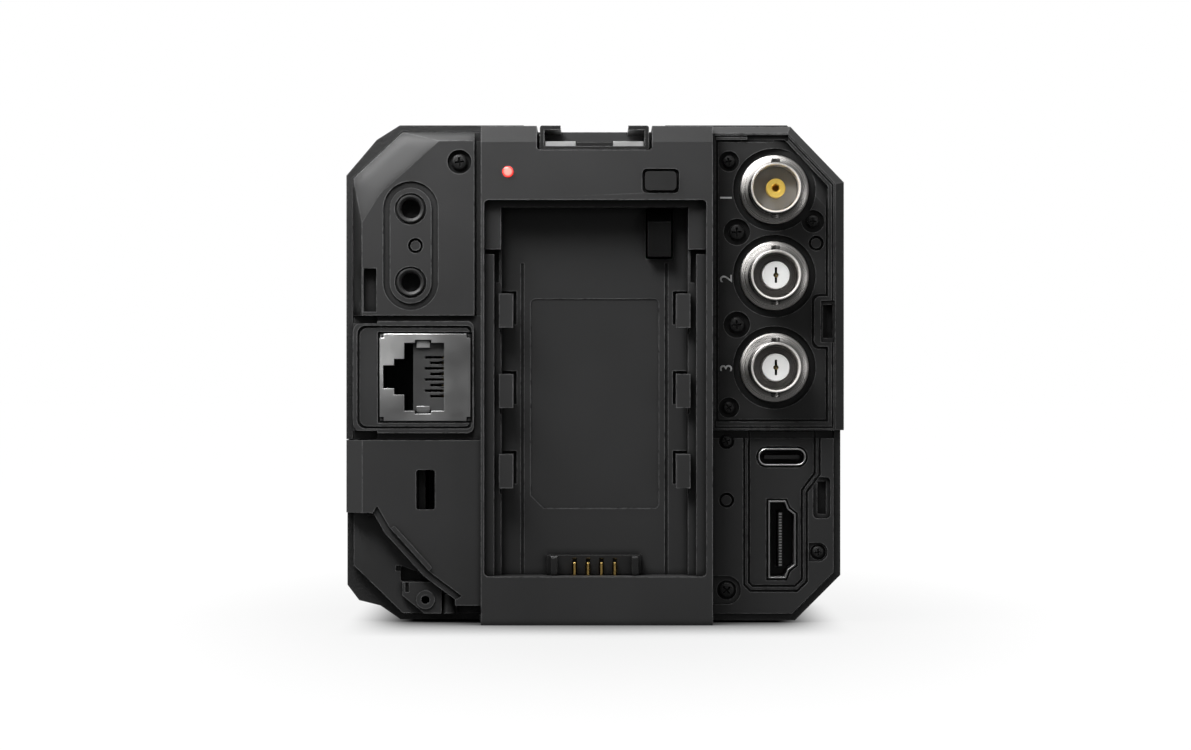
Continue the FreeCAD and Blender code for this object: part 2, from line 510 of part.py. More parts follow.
def polygon(*corners):
    """A closed wire through corners (u, v), or (u, v, radius) for a rounded one."""
    def draw(sketch):
        entries = []
        exits = []
        arcs = []
        count = len(corners)
        for index, corner in enumerate(corners):
            spot = (corner[0], corner[1])
            arrive = heading(corners[index - 1], corner)
            leave = heading(corner, corners[(index + 1) % count])
            if len(corner) < 3 or number(corner[2]) < 0.01:
                entries.append(spot)
                exits.append(spot)
                arcs.append(None)
                continue
            turn = arrive[0] * leave[1] - arrive[1] * leave[0]
            angle = math.atan2(turn, arrive[0] * leave[0] + arrive[1] * leave[1])
            back = corner[2] * math.tan(abs(angle) / 2)
            entries.append((spot[0] - back * arrive[0], spot[1] - back * arrive[1]))
            exits.append((spot[0] + back * leave[0], spot[1] + back * leave[1]))
            arcs.append((corner[2], turn > 0, arrive))
        lines = []
        for index in range(count):
            start = exits[index]
            end = entries[(index + 1) % count]
            line = Part.LineSegment(Vector(number(start[0]), number(start[1]), 0),
                                    Vector(number(end[0]), number(end[1]), 0))
            lines.append(sketch.addGeometry(line))
            fix_point(sketch, lines[-1], 1, *start)
        for index in range(count):
            before = lines[index - 1]
            after = lines[index]
            if arcs[index] is None:
                sketch.addConstraint(Sketcher.Constraint("Coincident", before, 2, after, 1))
                continue
            radius, left, arrive = arcs[index]
            side = 1 if left else -1
            entry = entries[index]
            away = number(exits[index][0]), number(exits[index][1])
            centre = (number(entry[0]) - side * arrive[1] * number(radius),
                      number(entry[1]) + side * arrive[0] * number(radius))
            first = math.atan2(number(entry[1]) - centre[1], number(entry[0]) - centre[0])
            last = math.atan2(away[1] - centre[1], away[0] - centre[0])
            if not left:
                first, last = last, first
            if last < first:
                last += 2 * math.pi
            ring = Part.Circle(Vector(centre[0], centre[1], 0), Vector(0, 0, 1), number(radius))
            arc = sketch.addGeometry(Part.ArcOfCircle(ring, first, last))
            fix_point(sketch, before, 2, *entry)
            joined = (1, 2) if left else (2, 1)
            sketch.addConstraint(Sketcher.Constraint("Coincident", before, 2, arc, joined[0]))
            sketch.addConstraint(Sketcher.Constraint("Coincident", after, 1, arc, joined[1]))
            fix_radius(sketch, arc, radius)
    return draw


def rectangle(u, v, radius=None):
    """A closed wire round the spans u and v, each (low, high)."""
    if radius is None:
        return polygon((u[0], v[0]), (u[1], v[0]), (u[1], v[1]), (u[0], v[1]))
    return polygon((u[0], v[0], radius), (u[1], v[0], radius), (u[1], v[1], radius), (u[0], v[1], radius))


def stadium(u, v, radius):
    """A closed wire of two half circles and two straights, longer along v."""
    def draw(sketch):
        low = (u, v[0] + radius)
        high = (u, v[1] - radius)
        ends = []
        for spot, first in ((low, math.pi), (high, 0.0)):
            ring = Part.Circle(Vector(number(spot[0]), number(spot[1]), 0), Vector(0, 0, 1), number(radius))
            ends.append(sketch.addGeometry(Part.ArcOfCircle(ring, first, first + math.pi)))
        right = sketch.addGeometry(Part.LineSegment(
            Vector(number(u) + number(radius), number(low[1]), 0),
            Vector(number(u) + number(radius), number(high[1]), 0)))
        left = sketch.addGeometry(Part.LineSegment(
            Vector(number(u) - number(radius), number(high[1]), 0),
            Vector(number(u) - number(radius), number(low[1]), 0)))
        fix_point(sketch, right, 1, u + radius, low[1])
        fix_point(sketch, right, 2, u + radius, high[1])
        fix_point(sketch, left, 1, u - radius, high[1])
        fix_point(sketch, left, 2, u - radius, low[1])
        sketch.addConstraint(Sketcher.Constraint("Coincident", ends[0], 2, right, 1))
        sketch.addConstraint(Sketcher.Constraint("Coincident", right, 2, ends[1], 1))
        sketch.addConstraint(Sketcher.Constraint("Coincident", ends[1], 2, left, 1))
        sketch.addConstraint(Sketcher.Constraint("Coincident", left, 2, ends[0], 1))
        for item, spot in zip(ends, (low, high)):
            level = sketch.addConstraint(Sketcher.Constraint("DistanceY", -1, 1, item, 3, number(spot[1])))
            bind(sketch, f"Constraints[{level}]", spot[1])
    return draw


def inset(corners, amount):
    """The corners of an anticlockwise outline, moved inwards by an amount."""
    moved = []
    count = len(corners)
    for index, corner in enumerate(corners):
        arrive = heading(corners[index - 1], corner)
        leave = heading(corner, corners[(index + 1) % count])
        normal_in = (-arrive[1], arrive[0])
        normal_out = (-leave[1], leave[0])
        share = 1 + normal_in[0] * normal_out[0] + normal_in[1] * normal_out[1]
        across = (normal_in[0] + normal_out[0]) / share
        upward = (normal_in[1] + normal_out[1]) / share
        moved.append((corner[0] + amount * across, corner[1] + amount * upward) + tuple(corner[2:]))
    return moved


# Solids in the frame's own axes

turned = {
    "x": FreeCAD.Rotation(Vector(0, 1, 0), Vector(0, 0, 1), Vector(1, 0, 0), "ZXY"),
    "y": FreeCAD.Rotation(Vector(1, 0, 0), 90),
    "z": FreeCAD.Rotation(),
}
plane_roles = {"x": "YZ_Plane", "y": "XZ_Plane", "z": "XY_Plane"}
nodes = []


def add(kind, name):
    return doc.addObject(kind, name)


def box(x, y, z):
    solid = add("Part::Box", "block")
    for path, span in (("Length", x), ("Width", y), ("Height", z)):
        bind(solid, path, as_size(span[1]) - span[0])
    for path, span in (("x", x), ("y", y), ("z", z)):
        bind(solid, f"Placement.Base.{path}", span[0])
    return solid


def prism(axis, span, *wires):
    """A solid on closed wires, between two places along an axis."""
    low, high = as_size(span[0]), as_size(span[1])
    sketch = add("Sketcher::SketchObject", "outline")
    sketch.Placement = FreeCAD.Placement(Vector(), turned[axis])
    for wire in wires:
        wire(sketch)
    bind(sketch, f"Placement.Base.{axis}", high if axis == "y" else low)
    solid = add("Part::Extrusion", "prism")
    solid.Base = sketch
    solid.DirMode = "Normal"
    solid.Solid = True
    bind(solid, "LengthFwd", high - low)
    return solid


def rod(axis, centre, radius, span):
    """A round bar along an axis; centre holds the two other coordinates in X, Y, Z order."""
    solid = add("Part::Cylinder", "rod")
    low, high = as_size(span[0]), as_size(span[1])
    solid.Placement = FreeCAD.Placement(Vector(), turned[axis])
    others = [letter for letter in "xyz" if letter != axis]
    bind(solid, "Radius", radius)
    bind(solid, "Height", high - low)
    bind(solid, f"Placement.Base.{axis}", high if axis == "y" else low)
    bind(solid, f"Placement.Base.{others[0]}", centre[0])
    bind(solid, f"Placement.Base.{others[1]}", centre[1])
    return solid


def fuse(*solids):
    if len(solids) == 1:
        return solids[0]
    joined = add("Part::MultiFuse", "joined")
    joined.Shapes = list(solids)
    joined.Refine = True
    return joined


def cut(solid, *tools):
    result = add("Part::Cut", "trimmed")
    result.Base = solid
    result.Tool = fuse(*tools)
    result.Refine = True
    return result


def together(*solids):
    """Several separate solids that share one node."""
    group = add("Part::Compound", "group")
    group.Links = list(solids)
    return group


def name(solid, label):
    solid.Label = label
    nodes.append(solid)
    return solid


def start_body(label):
    body = add("PartDesign::Body", label + "_body")
    return name(body, label)


def sketch_in(body, axis, place, wires):
    sketch = body.newObject("Sketcher::SketchObject", "outline")
    plane = [item for item in body.Origin.OriginFeatures if item.Role == plane_roles[axis]][0]
    sketch.AttachmentSupport = [(plane, "")]
    sketch.MapMode = "FlatFace"
    bind(sketch, "AttachmentOffset.Base.z", -as_size(place) if axis == "y" else place)
    for wire in wires:
        wire(sketch)
    return sketch


def pad(body, axis, span, *wires):
    """Material added between two places along an axis."""
    sketch = sketch_in(body, axis, span[1] if axis == "y" else span[0], wires)
    feature = body.newObject("PartDesign::Pad", "pad")
    feature.Profile = sketch
    bind(feature, "Length", as_size(span[1]) - span[0])
    return feature


def pocket(body, axis, span, *wires):
    """Material taken away between two places along an axis."""
    sketch = sketch_in(body, axis, span[0] if axis == "y" else span[1], wires)
    feature = body.newObject("PartDesign::Pocket", "pocket")
    feature.Profile = sketch
    bind(feature, "Length", as_size(span[1]) - span[0])
    return feature


# Places that several pieces share

rear_rim = -size.shell_rear
front_rim = size.shell_front
panel_face = -size.panel_rear
panel_back = -size.panel_front
housing_left = -size.panel_left
housing_right = size.panel_right
housing_face = -size.housing_rear
inner_left = -size.shell_left + size.shell_wall
inner_right = size.shell_right - size.shell_wall
inner_base = size.shell_base + size.shell_wall
inner_top = size.shell_top - size.shell_wall
door_plane = -size.door_face
io_back = -size.io_board_y
slack = 1.0
step_gap = 0.6
flange_depth = 4.0
flange_wall = 1.4

shell_outline = [
    (-size.shell_left + size.corner_wide, size.shell_base),
    (size.shell_right - size.foot_corner, size.shell_base),
    (size.shell_right, size.shell_base + size.foot_corner),
    (size.shell_right, size.shell_top - size.corner_tall),
    (size.shell_right - size.corner_wide, size.shell_top),
    (-size.shell_left + size.corner_wide, size.shell_top),
    (-size.shell_left + size.corner_wide - size.corner_shoulder, size.shell_top - size.corner_drop),
    (-size.shell_left, size.shell_top - size.corner_tall + size.shoulder_lift),
    (-size.shell_left, size.shell_base + size.toe_high),
    (-size.shell_left + size.toe_mid_x, size.shell_base + size.toe_mid_z),
    (-size.shell_left + size.toe_low_x, size.shell_base + size.toe_low_z),
]
core_outline = shell_outline[:6] + [shell_outline[7], (-size.shell_left, size.shell_base + size.core_toe)]
inner_outline = inset(core_outline, size.shell_wall)
seat_outline = inset(core_outline, size.shell_wall + size.seat_gap)

# Main casing: one tube with slanted corners

shell = start_body("main_shell")
pad(shell, "y", (rear_rim, front_rim), polygon(*shell_outline), polygon(*inner_outline))
hinge_x = -size.shell_left + size.hinge_r + size.side_gap
hinge_front = -size.hinge_y + size.hinge_r + size.hinge_clear
door_low = size.door_step
door_high = size.door_top
pocket(shell, "x", (-size.shell_left - slack, -size.shell_left + size.shell_wall + slack),
       rectangle((rear_rim - slack, hinge_front), (door_low - size.fit_gap, door_high + size.fit_gap)))
pocket(shell, "y", (rear_rim - slack, -size.bezel_deep),
       polygon((-size.shell_left - slack, -slack), (housing_left - step_gap, -slack),
               (housing_left - step_gap, size.door_foot), (inner_left + 2, door_low),
               (-size.shell_left - slack, door_low)))
hinge_axis = (hinge_x, -size.hinge_y)
lug_root = 0.3
pin_floor = 0.4
lug_outline = rectangle((inner_left - lug_root, hinge_x + size.hinge_r),
                        (-size.hinge_y - size.hinge_r, hinge_front))
lower_lug = (door_low - size.fit_gap - size.lug_tall, door_low - size.fit_gap)
upper_lug = (door_high + size.fit_gap, door_high + size.fit_gap + size.lug_tall)
pad(shell, "z", lower_lug, lug_outline)
pad(shell, "z", upper_lug, lug_outline)
pocket(shell, "z", (lower_lug[0] + pin_floor, upper_lug[1] + slack),
       circle(*hinge_axis, size.hinge_pin_r + size.turn_gap))

shoe_middle = size.shoe_x
top_left = shoe_middle - size.shoe_notch / 2 - size.shoe_block_wide
top_right = shoe_middle + size.shoe_notch / 2 + size.shoe_block_wide
plate_front = size.plate_front
shoe_block = -size.shoe_block_y
pocket(shell, "z", (inner_top - slack, size.shell_top + slack),
       rectangle((top_left - size.seat_gap, top_right + size.seat_gap),
                 (rear_rim - slack, plate_front + size.seat_gap)))

base_span = (-size.base_half, size.base_half)
base_run = (-size.base_rear, size.base_front)


def grown(span, amount):
    return (span[0] - amount, span[1] + amount)


plug_corner = size.window_corner - slack
plug_span = grown(base_span, -size.foot_inset)
plug_run = grown(base_run, -size.foot_inset)
pocket(shell, "z", (-slack, inner_base + slack),
       rectangle(grown(plug_span, size.seat_gap), grown(plug_run, size.seat_gap), plug_corner))

control_y = (-size.control_rear, size.control_front)
control_z = (size.control_low, size.control_high)
pocket(shell, "x", (-size.shell_left - slack, inner_left + slack),
       rectangle(grown(control_y, size.seat_gap), grown(control_z, size.seat_gap), size.window_corner))

intake_count = 8


def vent_span(lowest, index):
    base = lowest + index * size.vent_pitch
    return (base, base + size.vent_wide)


pocket(shell, "x", (-size.shell_left - slack, inner_left + slack),
       *[rectangle((-size.intake_rear, -size.intake_front), vent_span(size.intake_low, index))
         for index in range(intake_count)])
exhaust_count = 9
exhaust_low = size.fan_z - size.vent_pitch * (exhaust_count - 1) / 2 - size.vent_wide / 2
pocket(shell, "x", (inner_right - slack, size.shell_right + slack),
       *[rectangle((size.fan_y - size.fan_bore + slack, size.fan_y + size.fan_bore - slack),
                   vent_span(exhaust_low, index))
         for index in range(exhaust_count)])

# Threaded inserts in the base, the top and both sides
insert_hole = size.insert_r + size.turn_gap
right_threads = [(size.side_right_y, size.side_low_z), (size.side_right_y, size.side_high_z)]
left_threads = [(-size.side_left_y, size.left_low_z), (-size.side_left_y, size.side_high_z)]
top_threads = [(-size.top_insert_x, size.top_insert_y), (size.top_insert_x, size.top_insert_y)]
base_threads = [(-size.base_insert_x, 0), (0, 0), (size.base_insert_x, 0)]
pocket(shell, "x", (inner_right - slack, size.shell_right + slack),
       *[circle(*spot, insert_hole) for spot in right_threads])
pocket(shell, "x", (-size.shell_left - slack, inner_left + slack),
       *[circle(*spot, insert_hole) for spot in left_threads])
pocket(shell, "z", (inner_top - slack, size.shell_top + slack),
       *[circle(*spot, insert_hole) for spot in top_threads])
insert_floor = 0.6


def insert(axis, centre, mouth, inwards):
    """A blind threaded insert; inwards is the side its bore points to."""
    deep = mouth + inwards * size.thread_deep
    end = deep + inwards * insert_floor
    outside = mouth - inwards * slack
    if inwards > 0:
        return cut(rod(axis, centre, size.insert_r, (mouth, end)),
                   rod(axis, centre, size.thread_r, (outside, deep)))
    return cut(rod(axis, centre, size.insert_r, (end, mouth)),
               rod(axis, centre, size.thread_r, (deep, outside)))


name(together(
    *[insert("x", spot, size.shell_right, -1) for spot in right_threads],
    *[insert("x", spot, -size.shell_left, 1) for spot in left_threads],
    *[insert("z", spot, size.shell_top, -1) for spot in top_threads],
    *[insert("z", spot, as_size(0), 1) for spot in base_threads]), "thread_inserts")

# Base plate with its three threads and a register hole
plug_top = inner_base + size.foot_plug
foot = start_body("base_plate")
pad(foot, "z", (0, size.shell_base), rectangle(base_span, base_run, size.window_corner))
pad(foot, "z", (size.shell_base, plug_top), rectangle(plug_span, plug_run, plug_corner))
pocket(foot, "z", (-slack, plug_top + slack), circle(0, size.register_y, size.register_r),
       *[circle(*spot, insert_hole) for spot in base_threads])

# Front cover with its slanted edge and the seat of the lens mount
cover_front = front_rim + size.cover_thick
lens_height = size.lens_z
throat_r = size.mount_bore + size.throat_wall
cover = start_body("front_cover")
pad(cover, "y", (front_rim, cover_front - size.cover_bevel), polygon(*shell_outline))
bevelled = inset(shell_outline, size.cover_bevel)
pad(cover, "y", (cover_front - size.cover_bevel, cover_front), polygon(*bevelled))
pad(cover, "y", (front_rim - flange_depth, front_rim),
    polygon(*seat_outline), polygon(*inset(seat_outline, flange_wall)))
seat_front = size.flange_y - size.mount_thick
pad(cover, "y", (cover_front, seat_front), circle(0, lens_height, size.mount_outer + size.throat_wall))
pocket(cover, "y", (front_rim - slack, seat_front + slack),
       circle(0, lens_height, throat_r + size.seat_gap))
unlock_middle = (-size.unlock_x, size.unlock_z)
pocket(cover, "y", (front_rim - slack, cover_front + slack),
       circle(unlock_middle[0], unlock_middle[1], size.unlock_r + size.fit_gap))
pin_x = -size.pin_ring
pocket(cover, "y", (front_rim - slack, seat_front + slack),
       circle(pin_x, lens_height, size.pin_r + size.fit_gap))
pocket(cover, "y", (front_rim - slack, cover_front + slack),
       circle(size.tally_x, size.tally_z, size.tally_r + size.turn_gap))
screw_side = 8.0
screw_rise = 12.0
front_screw_spots = [
    (-size.shell_left + screw_side, size.shell_base + screw_rise),
    (size.shell_right - screw_side, size.shell_base + screw_rise),
    (-size.shell_left + size.corner_wide, size.shell_top - screw_rise),
    (size.shell_right - 2 * size.corner_wide, size.shell_top - size.corner_tall / 2)]
head_sink = 0.3
pocket(cover, "y", (cover_front - size.screw_head - head_sink, cover_front + slack),
       *[circle(x, z, size.screw_big_r + size.recess_ring) for x, z in front_screw_spots])
pocket(cover, "y", (front_rim - slack, cover_front + slack),
       *[circle(x, z, size.screw_shank + size.turn_gap) for x, z in front_screw_spots])
lens_proud = 0.2
name(rod("y", (size.tally_x, size.tally_z), size.tally_r, (front_rim + slack, cover_front + lens_proud)),
     "front_tally_lamp")

# Battery housing: the upright unit in the middle of the rear
housing = start_body("battery_housing")
wall_gap = 0.2
pad(housing, "y", (housing_face, rear_rim), rectangle((housing_left, housing_right), (0, size.housing_top)))
pad(housing, "y", (rear_rim, panel_back),
    rectangle((housing_left, housing_right), (inner_base + wall_gap, inner_top - wall_gap)))
pad(housing, "y", (panel_back, shoe_block),
    rectangle((top_left, top_right), (size.shoe_floor - size.shoe_block_tall, inner_top - wall_gap)))
pad(housing, "z", (inner_top - 2 * wall_gap, size.plate_top),
    rectangle((top_left, top_right), (rear_rim, shoe_block)))
bevel_base = size.housing_top - size.housing_bevel
bay_high = size.housing_top - size.bay_drop
release_middle = size.housing_top - size.release_drop
lamp_middle = size.housing_top - size.lamp_drop
pocket(housing, "x", (housing_left - slack, housing_right + slack),
       polygon((housing_face - slack, bevel_base), (housing_face, bevel_base),
               (housing_face + size.bevel_depth, size.housing_top),
               (housing_face + size.bevel_depth, size.housing_top + slack),
               (housing_face - slack, size.housing_top + slack)))
bay_z = (size.bay_base, bay_high)
bay_x = (-size.bay_left, size.bay_right)
ledge_face = housing_face + size.ledge_depth
rail_face = housing_face + size.rail_depth
bay_back = -size.bay_floor
ledge_rise = 1.3
pocket(housing, "y", (housing_face - slack, ledge_face),
       rectangle((-size.ledge_left, size.ledge_right), (size.bay_base, bay_high + ledge_rise),
                 size.ledge_corner))
pocket(housing, "y", (ledge_face - slack, rail_face),
       rectangle((-size.ledge_left + size.rail_inset, size.ledge_right - size.rail_inset),
                 (size.bay_base, size.ledge_base)))
pocket(housing, "y", (ledge_face - slack, bay_back), rectangle(bay_x, bay_z))
hook_places = [size.hook_base + index * size.hook_pitch for index in range(3)]
pad(housing, "y", (ledge_face, ledge_face + size.hook_thick),
    *[rectangle((-size.bay_left - size.hook_root, -size.bay_left + size.hook_reach),
                (low, low + size.hook_tall))
      for low in hook_places],
    *[rectangle((size.bay_right - size.hook_reach, size.bay_right + size.hook_root),
                (low, low + size.hook_tall))
      for low in hook_places])
notch_in = 0.3
pocket(housing, "y", (rail_face - slack, rail_face + slack + notch_in),
       *[circle(-size.bay_left + notch_in, low - size.hook_notch, size.hook_notch) for low in hook_places],
       *[circle(size.bay_right - notch_in, low - size.hook_notch, size.hook_notch) for low in hook_places])


def hook_slot(wall_x, side, low):
    """The slot in the bay floor above a hook and beside its end."""
    tip = wall_x + side * size.hook_reach
    far = tip + side * size.hook_gap
    high = low + size.hook_tall
    foot = low + size.hook_notch
    return polygon((wall_x, high), (tip, high), (tip, foot), (far, foot),
                   (far, high + size.hook_gap), (wall_x, high + size.hook_gap))


def rail_slot(outer_x, wall_x, side):
    """The slot over a side rail and down beside it."""
    rail_x = outer_x + side * size.rail_inset
    wall_side = wall_x - side * size.rail_slot_in
    rail_top = size.ledge_base - size.rail_slot_tall
    foot = size.ledge_base - size.rail_slot_drop
    return polygon((outer_x, size.ledge_base), (outer_x, rail_top), (rail_x, rail_top), (rail_x, foot),
                   (wall_side, foot), (wall_side, size.ledge_base))


pocket(housing, "y", (bay_back - slack, bay_back + size.hook_slot_deep),
       *[hook_slot(-size.bay_left, 1, low) for low in hook_places],
       *[hook_slot(size.bay_right, -1, low) for low in hook_places])
pocket(housing, "y", (ledge_face - slack, rail_face + size.hook_slot_deep),
       rail_slot(-size.ledge_left, -size.bay_left, 1), rail_slot(size.ledge_right, size.bay_right, -1))
groove_half = size.groove_wide / 2
label_corner = 0.9
pocket(housing, "y", (bay_back - slack, bay_back + size.groove_deep),
       *[rectangle(grown((x, x), groove_half), (size.bay_base, size.groove_top))
         for x in (-size.groove_left, size.groove_right)])
pocket(housing, "y", (bay_back - slack, bay_back + size.label_deep),
       polygon((-size.label_left + size.label_cut, size.label_base),
               (size.label_right, size.label_base, label_corner),
               (size.label_right, size.label_top, label_corner),
               (-size.label_left, size.label_top, label_corner),
               (-size.label_left, size.label_base + size.label_cut)))
release_x = (size.release_x - size.release_wide / 2, size.release_x + size.release_wide / 2)
release_z = (release_middle - size.release_tall / 2, release_middle + size.release_tall / 2)
release_depth = housing_face + size.release_long
rim_sink = 0.4
button_room = 2.0
pocket(housing, "y", (housing_face - slack, housing_face + size.release_rim_deep),
       rectangle(grown(release_x, size.release_rim), grown(release_z, size.release_rim),
                 size.release_corner))
pocket(housing, "y", (housing_face - slack, release_depth + button_room),
       rectangle(grown(release_x, size.fit_gap), grown(release_z, size.fit_gap), size.release_corner))
latch_x = (size.latch_x - size.latch_wide / 2, size.latch_x + size.latch_wide / 2)
latch_base = bay_high - size.latch_drop
latch_z = (latch_base, latch_base + size.latch_tall)
pocket(housing, "y", (bay_back - slack, panel_back + slack),
       rectangle(grown(latch_x, size.latch_room), grown(latch_z, size.latch_room), size.latch_room))
terminal_x = (-size.terminal_left, size.terminal_right)
terminal_z = (size.bay_base, size.bay_base + size.terminal_tall)
pocket(housing, "y", (bay_back - slack, panel_back + slack), rectangle(terminal_x, terminal_z))
lamp_long = 3.0
pocket(housing, "y", (housing_face - slack, housing_face + lamp_long),
       circle(-size.lamp_x, lamp_middle, size.lamp_r + size.turn_gap))
notch_left = shoe_middle - size.shoe_notch / 2
notch_right = shoe_middle + size.shoe_notch / 2
shoe_rear = housing_face + rim_sink
shoe_front = shoe_rear + size.shoe_long
notch_corner = 0.6
pocket(housing, "y", (housing_face - slack, shoe_front + rim_sink),
       polygon((notch_left, size.shoe_floor, notch_corner), (notch_right, size.shoe_floor, notch_corner),
               (notch_right, size.shell_top + slack), (notch_left, size.shell_top + slack)))

# Battery release: the button and the latch that it draws back
name(prism("y", (housing_face - size.release_proud, release_depth),
           rectangle(release_x, release_z, size.release_corner - size.fit_gap)), "battery_release_button")
latch_face = bay_back - size.latch_proud
ramp_tall = 2.4
latch_block = box(latch_x, (latch_face, bay_back + size.latch_tail), latch_z)
latch_ramp = prism("x", grown(latch_x, slack),
                   polygon((latch_face - slack, latch_z[1] + slack),
                           (latch_face - slack, latch_z[1] - ramp_tall),
                           (latch_face, latch_z[1] - ramp_tall),
                           (latch_face + ramp_tall, latch_z[1] + slack)))
name(cut(latch_block, latch_ramp), "battery_latch")
name(rod("y", (-size.lamp_x, lamp_middle), size.lamp_r,
         (housing_face - size.seat_gap, housing_face + lamp_long)),
     "status_lamp")

# Battery terminals: block with two guide posts and slots for four blades
terminal_face = bay_back - size.terminal_proud
post_left = -size.terminal_left + 0.9
post_right = size.terminal_right - 0.6
post_y = (bay_back - size.post_proud, terminal_face)
post_z = (terminal_z[0] + size.turn_gap, terminal_z[1] - 0.4)
terminal_block = fuse(
    box(grown(terminal_x, -size.turn_gap), (terminal_face, panel_back + slack),
        grown(terminal_z, -size.turn_gap)),
    box((post_left, post_left + size.post_wide), post_y, post_z),
    box((post_right - size.post_wide, post_right), post_y, post_z))
blade_places = [-size.blade_x + index * size.blade_pitch for index in range(4)]
blade_root = 1.6
blade_slack = 0.2
slot_top = terminal_z[1] - 0.7
slots = [box(grown((x, x), size.blade_thick / 2 + blade_slack),
             (terminal_face - slack, terminal_face + blade_root),
             (terminal_z[0] - slack, slot_top)) for x in blade_places]
name(cut(terminal_block, *slots), "battery_terminal_block")
blades = [box(grown((x, x), size.blade_thick / 2),
              (terminal_face - size.blade_proud, terminal_face + blade_root),
              (terminal_z[0] + size.turn_gap, terminal_z[0] + size.blade_tall)) for x in blade_places]
name(together(*blades), "battery_terminal_blades")

# Accessory shoe: sheet channel with turned-in claws, two leaf springs and the middle block
floor_thick = 0.6
claw_rise = 4.5
shoe_base = size.shoe_floor + size.seat_gap
claw_top = size.shoe_floor + claw_rise
slot_base = claw_top - size.shoe_sheet - size.shoe_slot
channel_x = (shoe_middle - size.shoe_wide / 2 - size.shoe_sheet,
             shoe_middle + size.shoe_wide / 2 + size.shoe_sheet)
inside_x = (shoe_middle - size.shoe_wide / 2, shoe_middle + size.shoe_wide / 2)
gap_x = (shoe_middle - size.shoe_gap / 2, shoe_middle + size.shoe_gap / 2)
bend_r = 0.45
channel = prism("y", (shoe_rear, shoe_front), polygon(
    (channel_x[0], shoe_base, bend_r), (channel_x[1], shoe_base, bend_r),
    (channel_x[1], claw_top, bend_r), (gap_x[1], claw_top), (gap_x[1], claw_top - size.shoe_sheet),
    (inside_x[1], claw_top - size.shoe_sheet), (inside_x[1], shoe_base + floor_thick),
    (inside_x[0], shoe_base + floor_thick), (inside_x[0], claw_top - size.shoe_sheet),
    (gap_x[0], claw_top - size.shoe_sheet), (gap_x[0], claw_top), (channel_x[0], claw_top, bend_r)))
name(channel, "shoe_claws")
block_half = 3.3
spring_from = block_half + wall_gap
spring_y = (shoe_rear + wall_gap, shoe_front - 2 * slack)
spring_z = (shoe_base + floor_thick, slot_base)
name(together(
    box((inside_x[0] + wall_gap, shoe_middle - spring_from), spring_y, spring_z),
    box((shoe_middle + spring_from, inside_x[1] - wall_gap), spring_y, spring_z)), "shoe_springs")
block_top = slot_base - wall_gap
stop_half = 0.9
name(fuse(box(grown((shoe_middle, shoe_middle), block_half), (shoe_rear + rim_sink, shoe_front - slack),
              (shoe_base + floor_thick, block_top)),
          box(grown((shoe_middle, shoe_middle), stop_half), (shoe_front - 3 * slack, shoe_front - slack),
              (block_top, slot_base + wall_gap))),
     "shoe_contact_block")

# Top plate ahead of the shoe
lid = start_body("top_plate")
pad(lid, "z", (inner_top - slack, size.plate_top),
    rectangle((top_left, top_right), (shoe_block + size.seat_gap, plate_front)))


def loft(axis, first, first_wire, second, second_wire):
    """A straight-sided solid between two outlines with as many corners."""
    sections = []
    for place, wire in ((first, first_wire), (second, second_wire)):
        sketch = add("Sketcher::SketchObject", "section")
        sketch.Placement = FreeCAD.Placement(Vector(), turned[axis])
        wire(sketch)
        bind(sketch, f"Placement.Base.{axis}", place)
        sections.append(sketch)
    solid = add("Part::Loft", "loft")
    solid.Sections = sections
    solid.Solid = True
    solid.Ruled = True
    return solid


def blind_ring(place, face):
    """The groove round a plugged pin hole, for a cut."""
    deep = face + size.blind_deep
    return cut(rod("y", place, size.blind_r, (panel_face - slack, deep)),
               rod("y", place, size.blind_plug, (face + size.blind_sink, deep + slack)))


# Audio panel: upper left, with slanted faces down to the casing's rim
left_seat = inner_left + size.seat_gap
right_seat = inner_right - size.seat_gap
top_seat = inner_top - size.seat_gap
base_seat = inner_base + size.seat_gap
beside_left = housing_left - size.seat_gap
beside_right = housing_right + size.seat_gap
through_panel = (panel_face - slack, panel_back + slack)
top_left_seat = (seat_outline[5], seat_outline[6])
audio_low = size.audio_base
corner_crest = 0.8
slope_side = 1.7
slope_run = 6.6
slope_turn = 5.1
slope_mid = 11.6
slope_end = 17.0
face_right = beside_left - 1.4
strip_left = beside_left - size.strip_wide


def audio_edge(right):
    return [
        (left_seat, audio_low), (right, audio_low), (right, top_seat), top_left_seat[0],
        (top_left_seat[1][0] + corner_crest, top_left_seat[1][1] + corner_crest), top_left_seat[1]]


audio_face = [
    (left_seat + slope_side, audio_low), (strip_left, audio_low), (strip_left, top_seat - slope_side),
    (strip_left - slope_run, top_seat - slope_side), (left_seat + slope_turn, top_seat - slope_mid),
    (left_seat + slope_side, top_seat - slope_end)]
audio_middle = (size.mic_z + size.phones_z) / 2
pill = (size.phones_z - size.pill_reach, size.mic_z + size.pill_reach)
pill_inner = (pill[0] + size.pill_wide, pill[1] - size.pill_wide)
audio_screw = (-size.audio_screw_x, size.audio_screw_z)
tab_z = (size.tab_base, size.tab_base + size.tab_tall)
slope_foot = rear_rim - size.seat_gap
jack_hole = size.jack_ring + size.turn_gap
audio_solid = fuse(
    prism("y", (slope_foot, panel_back), polygon(*audio_edge(beside_left))),
    loft("y", slope_foot, polygon(*audio_edge(strip_left)), panel_face, polygon(*audio_face)),
    box((strip_left + size.frame_groove, beside_left), (panel_face + size.strip_sink, slope_foot + slack),
        (audio_low, top_seat - slope_side)))
